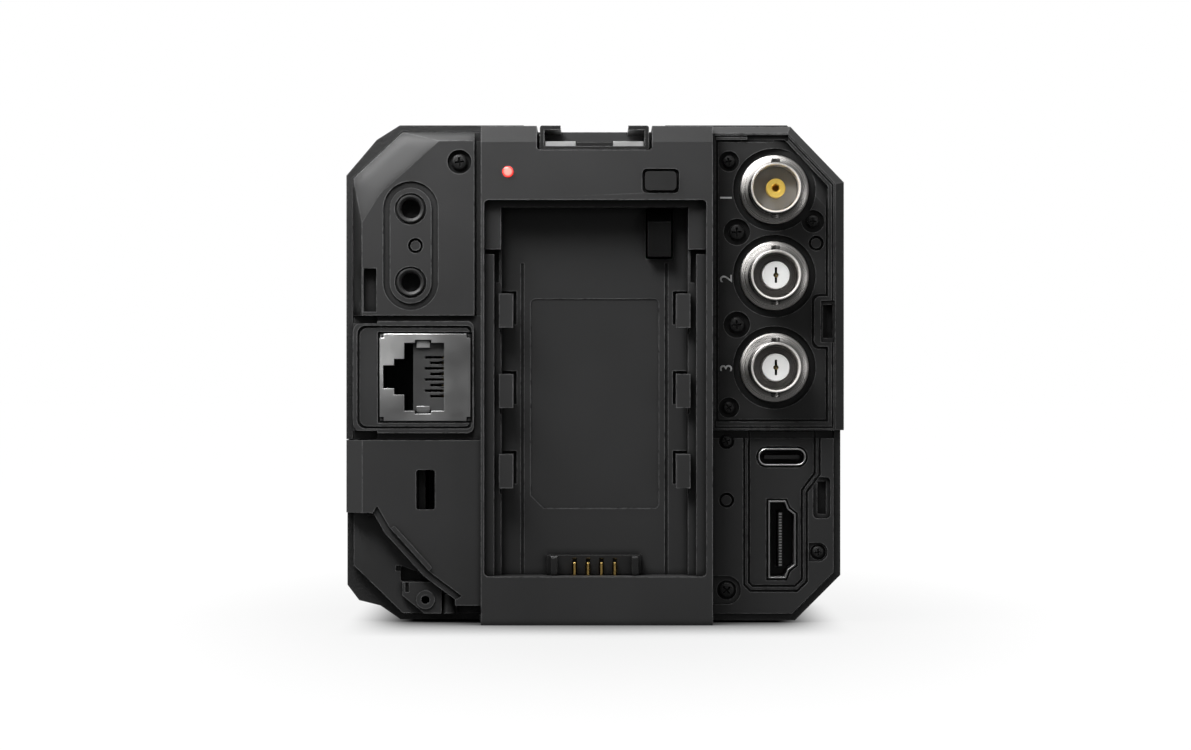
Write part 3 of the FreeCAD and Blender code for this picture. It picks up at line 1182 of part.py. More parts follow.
audio_tools = [
    prism("y", (panel_face - slack, panel_face + size.pill_deep),
          stadium(-size.audio_x, pill, size.pill_half),
          stadium(-size.audio_x, pill_inner, size.pill_half - size.pill_wide)),
    rod("y", (-size.audio_x, size.mic_z), jack_hole, through_panel),
    rod("y", (-size.audio_x, size.phones_z), jack_hole, through_panel),
    blind_ring((-size.audio_x + size.blind_offset, audio_middle), panel_face),
    box((-size.tab_left, -size.tab_left + size.tab_wide),
        (panel_face - slack, panel_face + size.tab_deep), tab_z),
    rod("y", audio_screw, size.screw_big_r + size.recess_ring,
        (panel_face - slack, panel_face + size.screw_head + head_sink)),
    rod("y", audio_screw, size.screw_shank + size.turn_gap, through_panel),
]
name(cut(audio_solid, *audio_tools), "audio_panel")
jack_proud = 0.3
jack_half_x = 3.4
jack_half_z = 3.2
jack_lead = 0.25


def audio_jack(height):
    axis_place = (-size.audio_x, height)
    mouth_y = panel_face - jack_proud
    collar = rod("y", axis_place, size.jack_ring, (mouth_y, panel_back + jack_proud))
    body = box(grown((axis_place[0], axis_place[0]), jack_half_x), (panel_back, io_back),
               grown((height, height), jack_half_z))
    bore = rod("y", axis_place, size.jack_bore, (mouth_y - slack, mouth_y + size.jack_long))
    mouth = rod("y", axis_place, size.jack_bore + jack_lead, (mouth_y - slack, panel_face + wall_gap))
    return cut(fuse(collar, body), bore, mouth)


name(audio_jack(size.mic_z), "microphone_jack")
name(audio_jack(size.phones_z), "headphone_jack")

# Network panel with its raised frame
net_top = size.audio_base - size.seat_gap
net_z = (size.net_base, net_top)
frame_z = (size.net_base + size.net_margin + wall_gap, net_top - size.net_margin)
frame_x = (left_seat, face_right)
net_plate = panel_face + size.net_step
network = start_body("network_panel")
pad(network, "y", (net_plate, panel_back), rectangle((left_seat, beside_left), net_z))
right_radius = 1.3
lip_radius = 1.5
lip_right_radius = 0.9
lip_more = 0.45
lip_sink = 0.35
pad(network, "y", (panel_face, net_plate), polygon(
    (frame_x[0], frame_z[0], size.net_corner), (frame_x[1], frame_z[0], right_radius),
    (frame_x[1], frame_z[1], right_radius), (frame_x[0], frame_z[1], size.net_corner)))
lip_x = grown(frame_x, -size.net_lip)
lip_z = grown(frame_z, -size.net_lip)
lip_outline = [
    (lip_x[0], lip_z[0], lip_radius), (lip_x[1] + lip_more, lip_z[0], lip_right_radius),
    (lip_x[1] + lip_more, lip_z[1], lip_right_radius), (lip_x[0], lip_z[1], lip_radius)]
pocket(network, "y", (panel_face - slack, panel_face + lip_sink), polygon(*lip_outline))
pocket(network, "y", (panel_face - slack, panel_face + lip_sink + size.frame_groove_deep),
       polygon(*lip_outline), polygon(*inset(lip_outline, size.frame_groove)))
rj_x = (-size.rj_left, -size.rj_left + size.rj_wide)
rj_z = (size.rj_base, size.rj_base + size.rj_tall)
pocket(network, "y", through_panel, rectangle(grown(rj_x, size.seat_gap), grown(rj_z, size.seat_gap)))
pocket(network, "y", (panel_face - slack, panel_face + lip_sink + size.rj_moat_deep),
       rectangle(grown(rj_x, size.rj_moat), grown(rj_z, size.rj_moat)))
nick_wide = 4.6
nick_deep = 1.2
nick_in = 0.45
pocket(network, "y", (net_plate - slack, net_plate + nick_deep),
       rectangle((left_seat - slack, left_seat + nick_wide), (net_z[0] - slack, frame_z[0] + nick_in)),
       rectangle((left_seat - slack, left_seat + nick_wide), (frame_z[1] - nick_in, net_z[1] + slack)))

# Network socket, latch side to the left: shield, insert and contacts
rj_face = panel_face + head_sink
mouth_x = (-size.rj_mouth_left, -size.rj_mouth_left + size.rj_mouth_wide)
mouth_low = size.rj_base + size.rj_mouth_lift
mouth_z = (mouth_low, mouth_low + size.rj_mouth_tall)
mouth_middle = (mouth_z[0] + mouth_z[1]) / 2
latch_wide_half = 3.35
latch_narrow_half = 2.15
latch_step = 1.9
latch_end = 3.95
ear_from = 2.0
ear_wide = 3.0
ear_tall = 0.55
rj_mouth = [
    (mouth_x, mouth_z),
    ((mouth_x[0] + ear_from, mouth_x[0] + ear_from + ear_wide), grown(mouth_z, ear_tall)),
    ((mouth_x[0] - latch_step, mouth_x[0] + size.seat_gap),
     grown((mouth_middle, mouth_middle), latch_wide_half)),
    ((mouth_x[0] - latch_end, mouth_x[0] - latch_step + size.seat_gap),
     grown((mouth_middle, mouth_middle), latch_narrow_half)),
]


def mouth_tools(depth):
    return [box(x, (rj_face - slack, rj_face + depth), z) for x, z in rj_mouth]


rj_inner_x = grown(rj_x, -size.rj_wall)
rj_inner_z = grown(rj_z, -size.rj_wall)
name(cut(box(rj_x, (rj_face, io_back), rj_z),
         box(rj_inner_x, (rj_face + size.rj_wall, io_back + slack), rj_inner_z),
         *mouth_tools(size.rj_wall + slack)), "network_shield")
name(cut(box(rj_inner_x, (rj_face + size.rj_wall, io_back), rj_inner_z), *mouth_tools(size.rj_depth)),
     "network_insert")
contact_count = 8
contact_half = 0.2
contact_near = rj_face + 2.0
contact_far = rj_face + 8.8
contact_places = [mouth_middle + (index - (contact_count - 1) / 2) * size.rj_pitch
                  for index in range(contact_count)]
contact_outline = [
    (mouth_x[1] - 2 * contact_half, contact_near), (mouth_x[1] - 2.7, contact_far),
    (mouth_x[1] - 2.4, contact_far + contact_half), (mouth_x[1], contact_near + 0.5),
    (mouth_x[1], contact_near)]
name(together(*[prism("z", grown((place, place), contact_half), polygon(*contact_outline))
                for place in contact_places]),
     "network_contacts")

# Card door: wraps round the side, on a pin in the casing
door_inner = door_plane + size.door_thick
door_right = beside_left
door_bevel_x = -size.shell_left + size.door_bevel
curve_top = (-size.shell_left + 7.2, door_low - 3.7)
curve_end = (-size.clamp_x - wall_gap, size.clamp_z + 4.4)
door_nose = -size.clamp_x + 5.6
door_outline = [
    (door_bevel_x, door_low), (-size.shell_left + 5.1, door_low, 1.2), (*curve_top, 6.0), (*curve_end, 9.0),
    (door_nose, size.clamp_z + size.seat_gap), (door_nose, size.door_foot),
    (door_right, size.door_foot), (door_right, door_high), (door_bevel_x, door_high)]
plate = prism("y", (door_plane, door_inner), polygon(*door_outline))
outside = inset(door_outline, -slack)
inside = inset(door_outline, size.band_wide)
door_band = prism("y", (door_plane - slack, door_plane + size.band_sink), polygon(
    outside[1][:2], outside[2], outside[3], outside[4][:2],
    inside[4][:2], inside[3], inside[2], inside[1][:2]))
bevel_y = door_plane + size.door_drop
rib_end = 0.4
side = prism("z", (door_low, door_high), polygon(
    (door_bevel_x, door_inner), (inner_left, bevel_y + 0.6), (inner_left, -size.hinge_y),
    (-size.shell_left, -size.hinge_y), (-size.shell_left, bevel_y), (door_bevel_x, door_plane)))
barrel = rod("z", hinge_axis, size.hinge_r, (door_low, door_high))
rib_near = inset(door_outline, size.band_wide + size.seat_gap)
rib_far = inset(door_outline, size.band_wide + size.rib_wide)
rib = prism("y", (door_plane - size.rib_proud, door_plane + size.seat_gap), polygon(
    rib_near[2][:2], rib_near[3][:2], (*rib_far[3][:2], rib_end), (*rib_far[2][:2], rib_end)))
lock_x = grown((-size.lock_x, -size.lock_x), size.lock_wide / 2)
lock_z = grown((size.lock_z, size.lock_z), size.lock_tall / 2)
lock_corner = 0.5
door_tools = [
    rod("z", hinge_axis, size.hinge_pin_r + size.turn_gap, (door_low - slack, door_high + slack)),
    prism("y", (door_plane - slack, door_inner + slack), rectangle(lock_x, lock_z, lock_corner)),
]
name(cut(fuse(cut(plate, door_band), side, barrel, rib), *door_tools), "card_door")
name(rod("z", hinge_axis, size.hinge_pin_r, (lower_lug[0] + pin_floor, upper_lug[1])), "card_door_pin")

# Lower left bezel: backs the door, fills the casing's corner and carries the clamp boss
bezel_face = door_inner + 0.3
bezel_thick = 0.8
bezel_back = -size.bezel_deep + bezel_thick
bezel_plane = -size.bezel_deep - size.bezel_plate
plate_high = door_low - wall_gap
pad_top = size.clamp_z + 3.3
bezel_outline = [
    (left_seat, plate_high), seat_outline[7], seat_outline[0], (beside_left, base_seat),
    (beside_left, plate_high)]
boss_left = -size.clamp_x - 4.3
boss_right = -size.clamp_x + 3.0
boss_face = door_inner + 0.4
post_r = 1.3
bezel_post = (boss_right + post_r, bezel_plane - wall_gap)
nook_top = pad_top + 3.0
boss_plate = cut(
    box((boss_left, boss_right), (boss_face, bezel_back), (base_seat, pad_top)),
    prism("y", (boss_face - slack, bezel_plane), polygon(
        (boss_left - slack, base_seat - slack), (-size.clamp_x + slack, base_seat - slack),
        (boss_left - slack, size.clamp_z + 1.6))),
    box((boss_left + 0.5, boss_left + 1.2), (boss_face - slack, boss_face + 0.5),
        (size.clamp_z + 1.4, pad_top - 0.1)))
bezel_base = cut(
    prism("y", (bezel_plane, bezel_back), polygon(*bezel_outline)),
    prism("y", (bezel_plane - slack, -size.bezel_deep), polygon(
        (boss_left - 0.4, pad_top + 0.1), (boss_right, pad_top + 0.1), (boss_left - 0.4, nook_top))),
    box((boss_left - 1.3, boss_left - 0.2), (bezel_plane - slack, bezel_plane + 0.6),
        (nook_top - 1.0, nook_top)))
bezel_solid = fuse(
    bezel_base,
    box((left_seat + 2.6, beside_left), (bezel_face, bezel_back),
        (door_low - step_gap, size.net_base - size.seat_gap)),
    boss_plate,
    rod("z", bezel_post, post_r, (base_seat, size.clamp_z + slack)),
    rod("y", (-size.clamp_x, size.clamp_z), size.clamp_r, (door_inner + size.seat_gap, bezel_back)))
card_x = (-size.card_left, -size.card_right)
card_z = (size.clamp_z + size.card_lift, size.door_top - size.card_drop)
bezel_cut = (door_plane - slack, bezel_back + slack)
bezel_tools = [
    rod("y", (-size.clamp_x, size.clamp_z), size.clamp_bore, bezel_cut),
    box(grown(card_x, size.seat_gap), bezel_cut, grown(card_z, size.seat_gap)),
    box((door_nose + wall_gap, beside_left + slack), (door_plane - slack, -size.bezel_deep - bezel_thick),
        (base_seat - slack, size.door_foot - wall_gap)),
]
name(cut(bezel_solid, *bezel_tools), "lower_left_bezel")
card_wall = 0.3
card_unit = box(card_x, (bezel_face + lock_corner, io_back), card_z)
card_slots = [box((low, low + size.card_slot), (bezel_face - slack, io_back - size.board_thick),
                  grown(card_z, -card_wall))
              for low in (card_x[0] + size.card_first, card_x[0] + size.card_first + size.card_pitch)]
name(cut(card_unit, *card_slots), "card_slot_unit")

# Video panel: upper right, with a slanted edge and a raised frame
sdi_low = size.sdi_base
sdi_right = size.sdi_right
sdi_top = size.shell_top - 0.3
sdi_turn = (size.shell_right - size.corner_wide + 0.6, size.shell_top - size.corner_tall - 0.7)
crest_drop = 1.3
frame_inner = sdi_right - size.sdi_bevel - size.sdi_frame - 0.3
face_top = sdi_top - crest_drop - size.sdi_frame - size.seat_gap
face_left = beside_right + 0.7
face_low = sdi_low + size.sdi_frame + 0.5
sdi_outer = [
    (beside_right, sdi_low), (sdi_right, sdi_low), (sdi_right, sdi_turn[1]), (sdi_turn[0], sdi_top),
    (beside_right, sdi_top)]
sdi_inner = [
    (beside_right, sdi_low), (sdi_right - size.sdi_bevel, sdi_low),
    (sdi_right - size.sdi_bevel, sdi_turn[1] - 0.3),
    (sdi_turn[0] - 0.5, sdi_top - crest_drop), (beside_right, sdi_top - crest_drop)]
video_tab_x = (sdi_right - size.video_tab_edge - size.video_tab_wide, sdi_right - size.video_tab_edge)
video_tab_z = (size.video_tab_base, size.video_tab_base + size.video_tab_tall)
land_left = sdi_right - size.video_tab_land
land_z = grown(video_tab_z, size.video_tab_margin)
sdi_face = [
    (face_left, face_low), (frame_inner, face_low), (frame_inner, land_z[0]),
    (land_left, land_z[0], size.video_tab_corner), (land_left, land_z[1], size.video_tab_corner),
    (frame_inner, land_z[1]), (frame_inner, sdi_turn[1] - 0.8),
    (sdi_turn[0] - 1.1, face_top), (face_left, face_top)]
facet_edge = 0.2
sdi_facet = [
    (frame_inner, sdi_turn[1] - 0.8 - size.face_slope), (frame_inner, sdi_turn[1] - 0.8),
    (sdi_turn[0] - 1.1, face_top), (sdi_turn[0] - 1.1 - size.face_slope, face_top)]
facet_floor = [
    (frame_inner, sdi_turn[1] - 0.8 - facet_edge), (frame_inner, sdi_turn[1] - 0.8),
    (sdi_turn[0] - 1.1, face_top), (sdi_turn[0] - 1.1 - facet_edge, face_top)]
sdi_step = panel_face + slack
sdi_plane = panel_face + size.sdi_sink
bnc_places = [(size.bnc_x, height) for height in (size.bnc_top_z, size.bnc_mid_z, size.bnc_low_z)]
well_floor = panel_face + 1.5
small_sdi_screws = [(size.small_screw_x, size.small_screw_top_z),
                    (size.small_screw_x, size.small_screw_low_z)]
large_sdi_screws = [(size.large_screw_x, size.large_screw_top_z),
                    (size.large_screw_x, size.large_screw_low_z)]
lobe_screw = (size.lobe_screw_x, size.lobe_screw_z)
side_lip = (rear_rim, rear_rim + 9.0)
sdi_solid = fuse(
    prism("y", (sdi_step, rear_rim), polygon(*sdi_outer)),
    loft("y", sdi_step, polygon(*sdi_outer), panel_face, polygon(*sdi_inner)),
    prism("y", (rear_rim, panel_back), polygon(
        (beside_right, sdi_low), (right_seat, sdi_low), seat_outline[3], seat_outline[4],
        (beside_right, top_seat))),
    box((size.shell_right + size.turn_gap, sdi_right), side_lip, (sdi_low, sdi_turn[1])))
screw_well = size.screw_r + size.recess_ring
big_well = size.screw_big_r + size.recess_ring + wall_gap
screw_floor = sdi_plane + size.screw_head + wall_gap
shallow_cut = (panel_face - slack, panel_face + size.video_tab_sink)
sdi_tools = [
    prism("y", (panel_face - slack, sdi_plane), polygon(*sdi_face)),
    prism("y", (panel_face - slack, sdi_plane + size.frame_groove_deep),
          polygon(*sdi_face), polygon(*inset(sdi_face, size.frame_groove))),
    cut(prism("y", (panel_face - slack, panel_face + size.rim_groove),
              polygon(*inset(sdi_inner, size.rim_groove_in))),
        prism("y", (panel_face - 2 * slack, panel_face + 2 * size.rim_groove),
              polygon(*inset(sdi_inner, size.rim_groove_in + size.rim_groove)))),
    loft("y", sdi_plane, polygon(*sdi_facet), sdi_plane + size.facet_deep, polygon(*facet_floor)),
    *[rod("y", place, size.bnc_well, (panel_face - slack, well_floor)) for place in bnc_places],
    *[rod("y", place, size.bnc_barrel + size.video_tab_sink, through_panel) for place in bnc_places],
    *[rod("y", place, screw_well, (panel_face - slack, screw_floor)) for place in small_sdi_screws],
    *[rod("y", place, big_well, (panel_face - slack, screw_floor)) for place in large_sdi_screws],
    rod("y", lobe_screw, screw_well + wall_gap, (panel_face - slack, well_floor)),
    *[rod("y", place, size.screw_shank + size.turn_gap, through_panel)
      for place in small_sdi_screws + large_sdi_screws + [lobe_screw]],
    blind_ring((size.video_blind_x, size.video_blind_z), sdi_plane),
    box(grown(video_tab_x, size.video_tab_rim), (panel_face - slack, panel_face + size.video_tab_rim_deep),
        grown(video_tab_z, size.video_tab_rise)),
    box(video_tab_x, (panel_face - slack, panel_face + size.tab_deep), video_tab_z),
    box((size.lip_left, size.lip_right), shallow_cut,
        (sdi_top - size.lip_drop, sdi_top - size.lip_drop + size.lip_tall)),
]
name(cut(sdi_solid, *sdi_tools), "video_panel")

# Coaxial sockets: flange, barrel with two bayonet lugs, body, insulator and contact
flange_thick = 1.3
barrel_out = size.bnc_long - 0.4
body_r = size.bnc_barrel + 0.8
bnc_face = well_floor - flange_thick
bnc_rear = bnc_face - barrel_out
hollow_floor = bnc_face + head_sink
lug_y = bnc_rear + 3.0


def bnc_shell(place):
    x, z = place
    reach = size.bnc_barrel + size.bnc_lug_reach
    metal = fuse(
        rod("y", place, size.bnc_flange, (bnc_face, well_floor)),
        rod("y", place, size.bnc_barrel, (bnc_rear, bnc_face)),
        rod("y", place, body_r, (well_floor, io_back)),
        rod("z", (x, lug_y), size.bnc_lug, (z + size.bnc_inside + wall_gap, z + reach)),
        rod("z", (x, lug_y), size.bnc_lug, (z - reach, z - size.bnc_inside - wall_gap)))
    return cut(metal, rod("y", place, size.bnc_inside, (bnc_rear - slack, hollow_floor)))


def bnc_insulator(place, radius, rear, bore):
    return cut(rod("y", place, radius, (rear, hollow_floor)),
               rod("y", place, bore, (rear - slack, hollow_floor + slack)))


def bnc_contact(place, radius, rear, bore):
    sleeve = rod("y", place, radius, (rear, hollow_floor))
    return cut(sleeve, rod("y", place, bore, (rear - slack, rear + contact_deep)))


contact_deep = 5.0
wide_contact = size.bnc_contact + 0.8
wide_bore = size.bnc_contact - size.seat_gap
slim_bore = 0.45
name(together(*[bnc_shell(place) for place in bnc_places]), "coaxial_shells")
name(together(
    bnc_insulator(bnc_places[0], size.bnc_inside - size.turn_gap, hollow_floor - slack, wide_contact),
    *[bnc_insulator(place, size.bnc_insulator, bnc_rear + 1.2, size.bnc_contact)
      for place in bnc_places[1:]]),
     "coaxial_insulators")
name(together(
    bnc_contact(bnc_places[0], wide_contact, bnc_rear + 1.6, wide_bore),
    *[bnc_contact(place, size.bnc_contact, bnc_rear + 0.9, slim_bore) for place in bnc_places[1:]]),
     "coaxial_contacts")

# Data panel: lower right
low_face = -size.low_face
data = start_body("data_panel")
pad(data, "y", (low_face, panel_back), polygon(
    (beside_right, base_seat), seat_outline[1], seat_outline[2],
    (right_seat, sdi_low - size.seat_gap), (beside_right, sdi_low - size.seat_gap)))
left_cut = 1.3
right_cut = 1.9
recess = [
    (size.data_left, size.data_base + left_cut, 0.6), (size.data_left + left_cut, size.data_base),
    (size.data_right - right_cut, size.data_base), (size.data_right, size.data_base + right_cut),
    (size.data_right, size.data_step_low), (size.data_far, size.data_step_high),
    (size.data_far, sdi_low + slack),
    (size.data_left, sdi_low + slack)]
pocket(data, "y", (low_face - slack, low_face + size.data_sink), polygon(*recess))
recess_inner = [corner[:2] for corner in inset([corner[:2] for corner in recess], size.data_lip)]
pocket(data, "y", (low_face - slack, low_face + size.data_sink * 2), polygon(*recess_inner))
recess_bare = [corner[:2] for corner in recess]
pocket(data, "y", (low_face - slack, low_face + size.data_sink + size.frame_groove_deep),
       polygon(*recess_bare), polygon(*inset(recess_bare, size.frame_groove)))
pocket(data, "y", (low_face - slack, low_face + size.data_sink * 2 + size.frame_groove_deep),
       polygon(*recess_inner), polygon(*inset(recess_inner, size.frame_groove)))
pocket(data, "y", (low_face - slack, low_face + size.data_band_deep),
       rectangle((beside_right - slack, right_seat + slack),
                 (sdi_low - size.data_band_tall, sdi_low + slack)))
socket_face = low_face + size.data_sink * 2
port_x = grown((size.port_x, size.port_x), size.port_wide / 2)
port_z = grown((size.port_z, size.port_z), size.port_tall / 2)
port_round = size.port_tall / 2 - size.turn_gap
monitor_x = (size.monitor_left, size.monitor_left + size.monitor_wide)
monitor_z = (size.monitor_base, size.monitor_base + size.monitor_tall)
flat_end = monitor_x[0] + 3.3
step_x = monitor_x[0] + 3.9
step_in = 1.5
step_out = 2.5
monitor_outline = [
    (monitor_x[0], monitor_z[0]), (flat_end, monitor_z[0]), (step_x, monitor_z[0] + step_in),
    (monitor_x[1], monitor_z[0] + step_out), (monitor_x[1], monitor_z[1] - step_out),
    (step_x, monitor_z[1] - step_in), (flat_end, monitor_z[1]), (monitor_x[0], monitor_z[1])]
pocket(data, "y", (low_face - slack, panel_back + slack),
       rectangle(grown(port_x, size.seat_gap), grown(port_z, size.seat_gap), port_round),
       polygon(*inset(monitor_outline, -size.seat_gap)))
pocket(data, "y", (low_face - slack, socket_face + size.port_moat_deep),
       rectangle(grown(port_x, size.port_moat), grown(port_z, size.port_moat), port_round + size.port_moat),
       polygon(*inset(monitor_outline, -size.port_moat)))
pocket(data, "y", (low_face - slack, low_face + size.blind_deep),
       circle(size.data_hole_x, size.data_blind_z, size.blind_r),
       circle(size.data_hole_x, size.data_blind_z, size.blind_plug))
pocket(data, "y", (low_face - slack, low_face + size.blind_sink),
       circle(size.data_hole_x, size.data_blind_z, size.blind_r))
small_data_screws = [(size.data_hole_x, size.data_top_screw_z), (size.data_screw_x, size.data_side_screw_z)]
large_data_screws = [(size.data_hole_x, size.data_low_screw_z)]
data_screw_floor = low_face + size.screw_head + wall_gap
pocket(data, "y", (low_face - slack, data_screw_floor),
       *[circle(x, z, size.screw_r + size.data_close_ring) for x, z in small_data_screws],
       *[circle(x, z, size.screw_big_r + size.data_close_ring) for x, z in large_data_screws])


def screw_lobe(middle, radius, edge):
    """A round recess with straight sides that run to the left, up to an edge."""
    low = (edge, middle[1] - radius)
    high = (edge, middle[1] + radius)
    right = middle[0] + radius
    bend = radius - size.turn_gap
    return polygon(low, (right, low[1], bend), (right, high[1], bend), high)


pocket(data, "y", (low_face - slack, low_face + size.screw_lobe_deep),
       screw_lobe(large_data_screws[0], size.screw_lobe, beside_right - slack),
       screw_lobe(small_data_screws[1], size.screw_lobe_small, size.data_screw_x - size.screw_lobe_small))
pocket(data, "y", (low_face - slack, panel_back + slack),
       *[circle(x, z, size.screw_shank + size.turn_gap) for x, z in small_data_screws + large_data_screws])
data_tab_x = (size.data_tab_x, size.data_tab_x + size.data_tab_wide)
data_tab_z = (size.data_tab_base, size.data_tab_base + size.data_tab_tall)
pocket(data, "y", (low_face - slack, low_face + size.data_tab_rim),
       rectangle(grown(data_tab_x, size.data_tab_rim), grown(data_tab_z, size.data_tab_rim),
                 size.data_tab_rim))
pocket(data, "y", (low_face - slack, low_face + size.tab_deep - 0.4), rectangle(data_tab_x, data_tab_z))

port_board_y = -size.port_board_y
port_outer = prism("y", (socket_face, port_board_y), rectangle(port_x, port_z, port_round))
port_inner = prism("y", (socket_face - slack, port_board_y + slack),
                   rectangle(grown(port_x, -size.port_wall), grown(port_z, -size.port_wall),
                             port_round - size.port_wall))
name(cut(port_outer, port_inner), "data_socket_shell")
plug_face = port_board_y - 3.0
tongue_half_x = 3.3
tongue_half_z = 0.35
tongue_face = socket_face + 0.9
port_plug = prism("y", (plug_face, port_board_y),
                  rectangle(grown(port_x, -size.port_wall), grown(port_z, -size.port_wall),
                            port_round - size.port_wall))
name(fuse(port_plug, box(grown((size.port_x, size.port_x), tongue_half_x), (tongue_face, plug_face),
                         grown((size.port_z, size.port_z), tongue_half_z))),
     "data_socket_tongue")
monitor_inner = inset(monitor_outline, size.monitor_wall)
name(cut(prism("y", (socket_face, port_board_y), polygon(*monitor_outline)),
         prism("y", (socket_face - slack, port_board_y + slack), polygon(*monitor_inner))),
     "monitor_socket_shell")
monitor_middle = (monitor_z[0] + monitor_z[1]) / 2
tongue_x = (monitor_x[0] + 1.9, monitor_x[0] + 2.7)
monitor_tongue_half = 5.1
name(fuse(prism("y", (plug_face, port_board_y), polygon(*monitor_inner)),
          box(tongue_x, (tongue_face, plug_face),
              grown((monitor_middle, monitor_middle), monitor_tongue_half))),
     "monitor_socket_tongue")


# Screws: pan head with a cross recess, shank behind
cross_share = 0.62
cross_slim = 0.24
cross_deep = 0.55


def screw(axis, x, y, z, head, towards):
    """A screw whose head's face is at the given place; towards is the side its shank points to."""
    at = {"x": x, "y": y, "z": z}
    others = [at[letter] for letter in "xyz" if letter != axis]
    face = as_size(at[axis])

    def span(first, last):
        low, high = face + towards * as_size(first), face + towards * as_size(last)
        return (low, high) if towards > 0 else (high, low)

    metal = fuse(rod(axis, others, head, span(0, size.screw_head)),
                 rod(axis, others, size.screw_shank,
                     span(size.screw_head, size.screw_head + size.screw_long)))
    blade = head * cross_share
    arms = []
    for wide, tall in ((blade, blade * cross_slim), (blade * cross_slim, blade)):
        arm = {axis: span(-slack, cross_deep)}
        letters = [letter for letter in "xyz" if letter != axis]
        arm[letters[0]] = (others[0] - wide, others[0] + wide)
        arm[letters[1]] = (others[1] - tall, others[1] + tall)
        arms.append(box(arm["x"], arm["y"], arm["z"]))
    return cut(metal, *arms)


audio_screw_face = panel_face + head_sink
sdi_screw_face = screw_floor - size.screw_head
data_screw_face = data_screw_floor - size.screw_head
name(together(
    *[screw("y", x, sdi_screw_face, z, size.screw_r, 1) for x, z in small_sdi_screws],
    screw("y", lobe_screw[0], well_floor - size.screw_head, lobe_screw[1], size.screw_r, 1),
    *[screw("y", x, data_screw_face, z, size.screw_r, 1) for x, z in small_data_screws]),
     "small_panel_screws")
name(together(
    screw("y", audio_screw[0], audio_screw_face, audio_screw[1], size.screw_big_r, 1),
    *[screw("y", x, sdi_screw_face, z, size.screw_big_r, 1) for x, z in large_sdi_screws],
    *[screw("y", x, data_screw_face, z, size.screw_big_r, 1) for x, z in large_data_screws]),
     "large_panel_screws")
base_screw_spots = [(x, y) for y in grown(base_run, -size.base_screw_in)
                    for x in grown(base_span, -size.base_screw_in)]
pocket(foot, "z", (-slack, size.screw_head + size.seat_gap),
       *[circle(x, y, size.screw_big_r + size.recess_ring) for x, y in base_screw_spots])
pocket(foot, "z", (-slack, plug_top + slack),
       *[circle(x, y, size.screw_shank + size.turn_gap) for x, y in base_screw_spots])
name(together(
    *[screw("y", x, cover_front - head_sink, z, size.screw_big_r, -1) for x, z in front_screw_spots],
    *[screw("z", x, y, size.seat_gap, size.screw_big_r, 1) for x, y in base_screw_spots]), "case_screws")

# Lens mount: ring with three claws, contact block and lock pin
lens_axis = (0, size.lens_z)
ring_face = size.flange_y
claw_front = ring_face - size.claw_sink
claw_back = claw_front - size.claw_thick
claw_root = 0.3
ring = cut(rod("y", lens_axis, size.mount_outer, (seat_front, ring_face)),
           rod("y", lens_axis, size.mount_bore, (seat_front - slack, ring_face + slack)))
claw_ring = cut(rod("y", lens_axis, size.mount_bore + claw_root, (claw_back, claw_front)),
                rod("y", lens_axis, size.claw_bore, (claw_back - slack, claw_front + slack)))


def sector(axis_span, first, last):
    """A wedge about the lens axis, between two angles in degrees."""
    reach = size.mount_outer
    corners = [(0, size.lens_z)]
    for angle in (first, (first + last) / 2, last):
        corners.append((reach * math.cos(math.radians(angle)),
                        size.lens_z + reach * math.sin(math.radians(angle))))
    return prism("y", axis_span, polygon(*corners))


claw_span = (claw_back - slack, claw_front + slack)
claw_gaps = [(20, 78), (140, 198), (260, 318)]
claws = cut(claw_ring, *[sector(claw_span, first, last) for first, last in claw_gaps])
mount_screw_spots = []
for angle in (45, 135, 225, 315):
    mount_screw_spots.append((size.pin_ring * math.cos(math.radians(angle)),
                              size.lens_z + size.pin_ring * math.sin(math.radians(angle))))
ring_tools = [rod("y", (pin_x, size.lens_z), size.pin_r + size.fit_gap,
                  (seat_front - slack, ring_face + slack))]
for spot in mount_screw_spots:
    ring_tools.append(rod("y", spot, size.screw_r + size.seat_gap,
                          (ring_face - size.screw_head - size.seat_gap, ring_face + slack)))
    ring_tools.append(rod("y", spot, size.screw_shank + size.turn_gap, (seat_front - slack, ring_face)))
name(cut(fuse(ring, claws), *ring_tools), "lens_mount_ring")
pocket(cover, "y", (front_rim - slack, seat_front + slack),
       *[circle(spot[0], spot[1], size.screw_shank + size.turn_gap) for spot in mount_screw_spots])
name(together(*[screw("y", spot[0], ring_face - size.seat_gap, spot[1], size.screw_r, -1)
                for spot in mount_screw_spots]),
     "mount_screws")

image_y = ring_face - size.flange_back
die_x = (-size.sensor_wide / 2, size.sensor_wide / 2)
die_z = (size.lens_z - size.sensor_tall / 2, size.lens_z + size.sensor_tall / 2)
throat_base = image_y + 2.0
window_x = 2.0
window_z = 1.6
throat = cut(rod("y", lens_axis, throat_r, (throat_base, seat_front)),
             rod("y", lens_axis, size.mount_bore, (throat_base + size.throat_wall, seat_front + slack)),
             prism("y", (throat_base - slack, seat_front),
                   rectangle(grown(die_x, window_x), grown(die_z, window_z), size.throat_wall)))
name(throat, "throat_baffle")
contact_span = (claw_back - 3.2, claw_back - wall_gap)
contact_in = 5.0
contact_reach = grown(contact_span, slack)
contact_arc = cut(rod("y", lens_axis, size.mount_bore - size.turn_gap, contact_span),
                  rod("y", lens_axis, size.mount_bore - contact_in, contact_reach))
contact_wedge = add("Part::Common", "arc")
contact_wedge.Base = contact_arc
contact_wedge.Tool = sector(contact_reach, 238, 302)
pin_count = 11
pin_row = size.mount_bore - 3.6
pin_angle = 5.4
contact_pin_r = 0.45
pin_root = contact_span[1] - 2.0
pin_spots = []
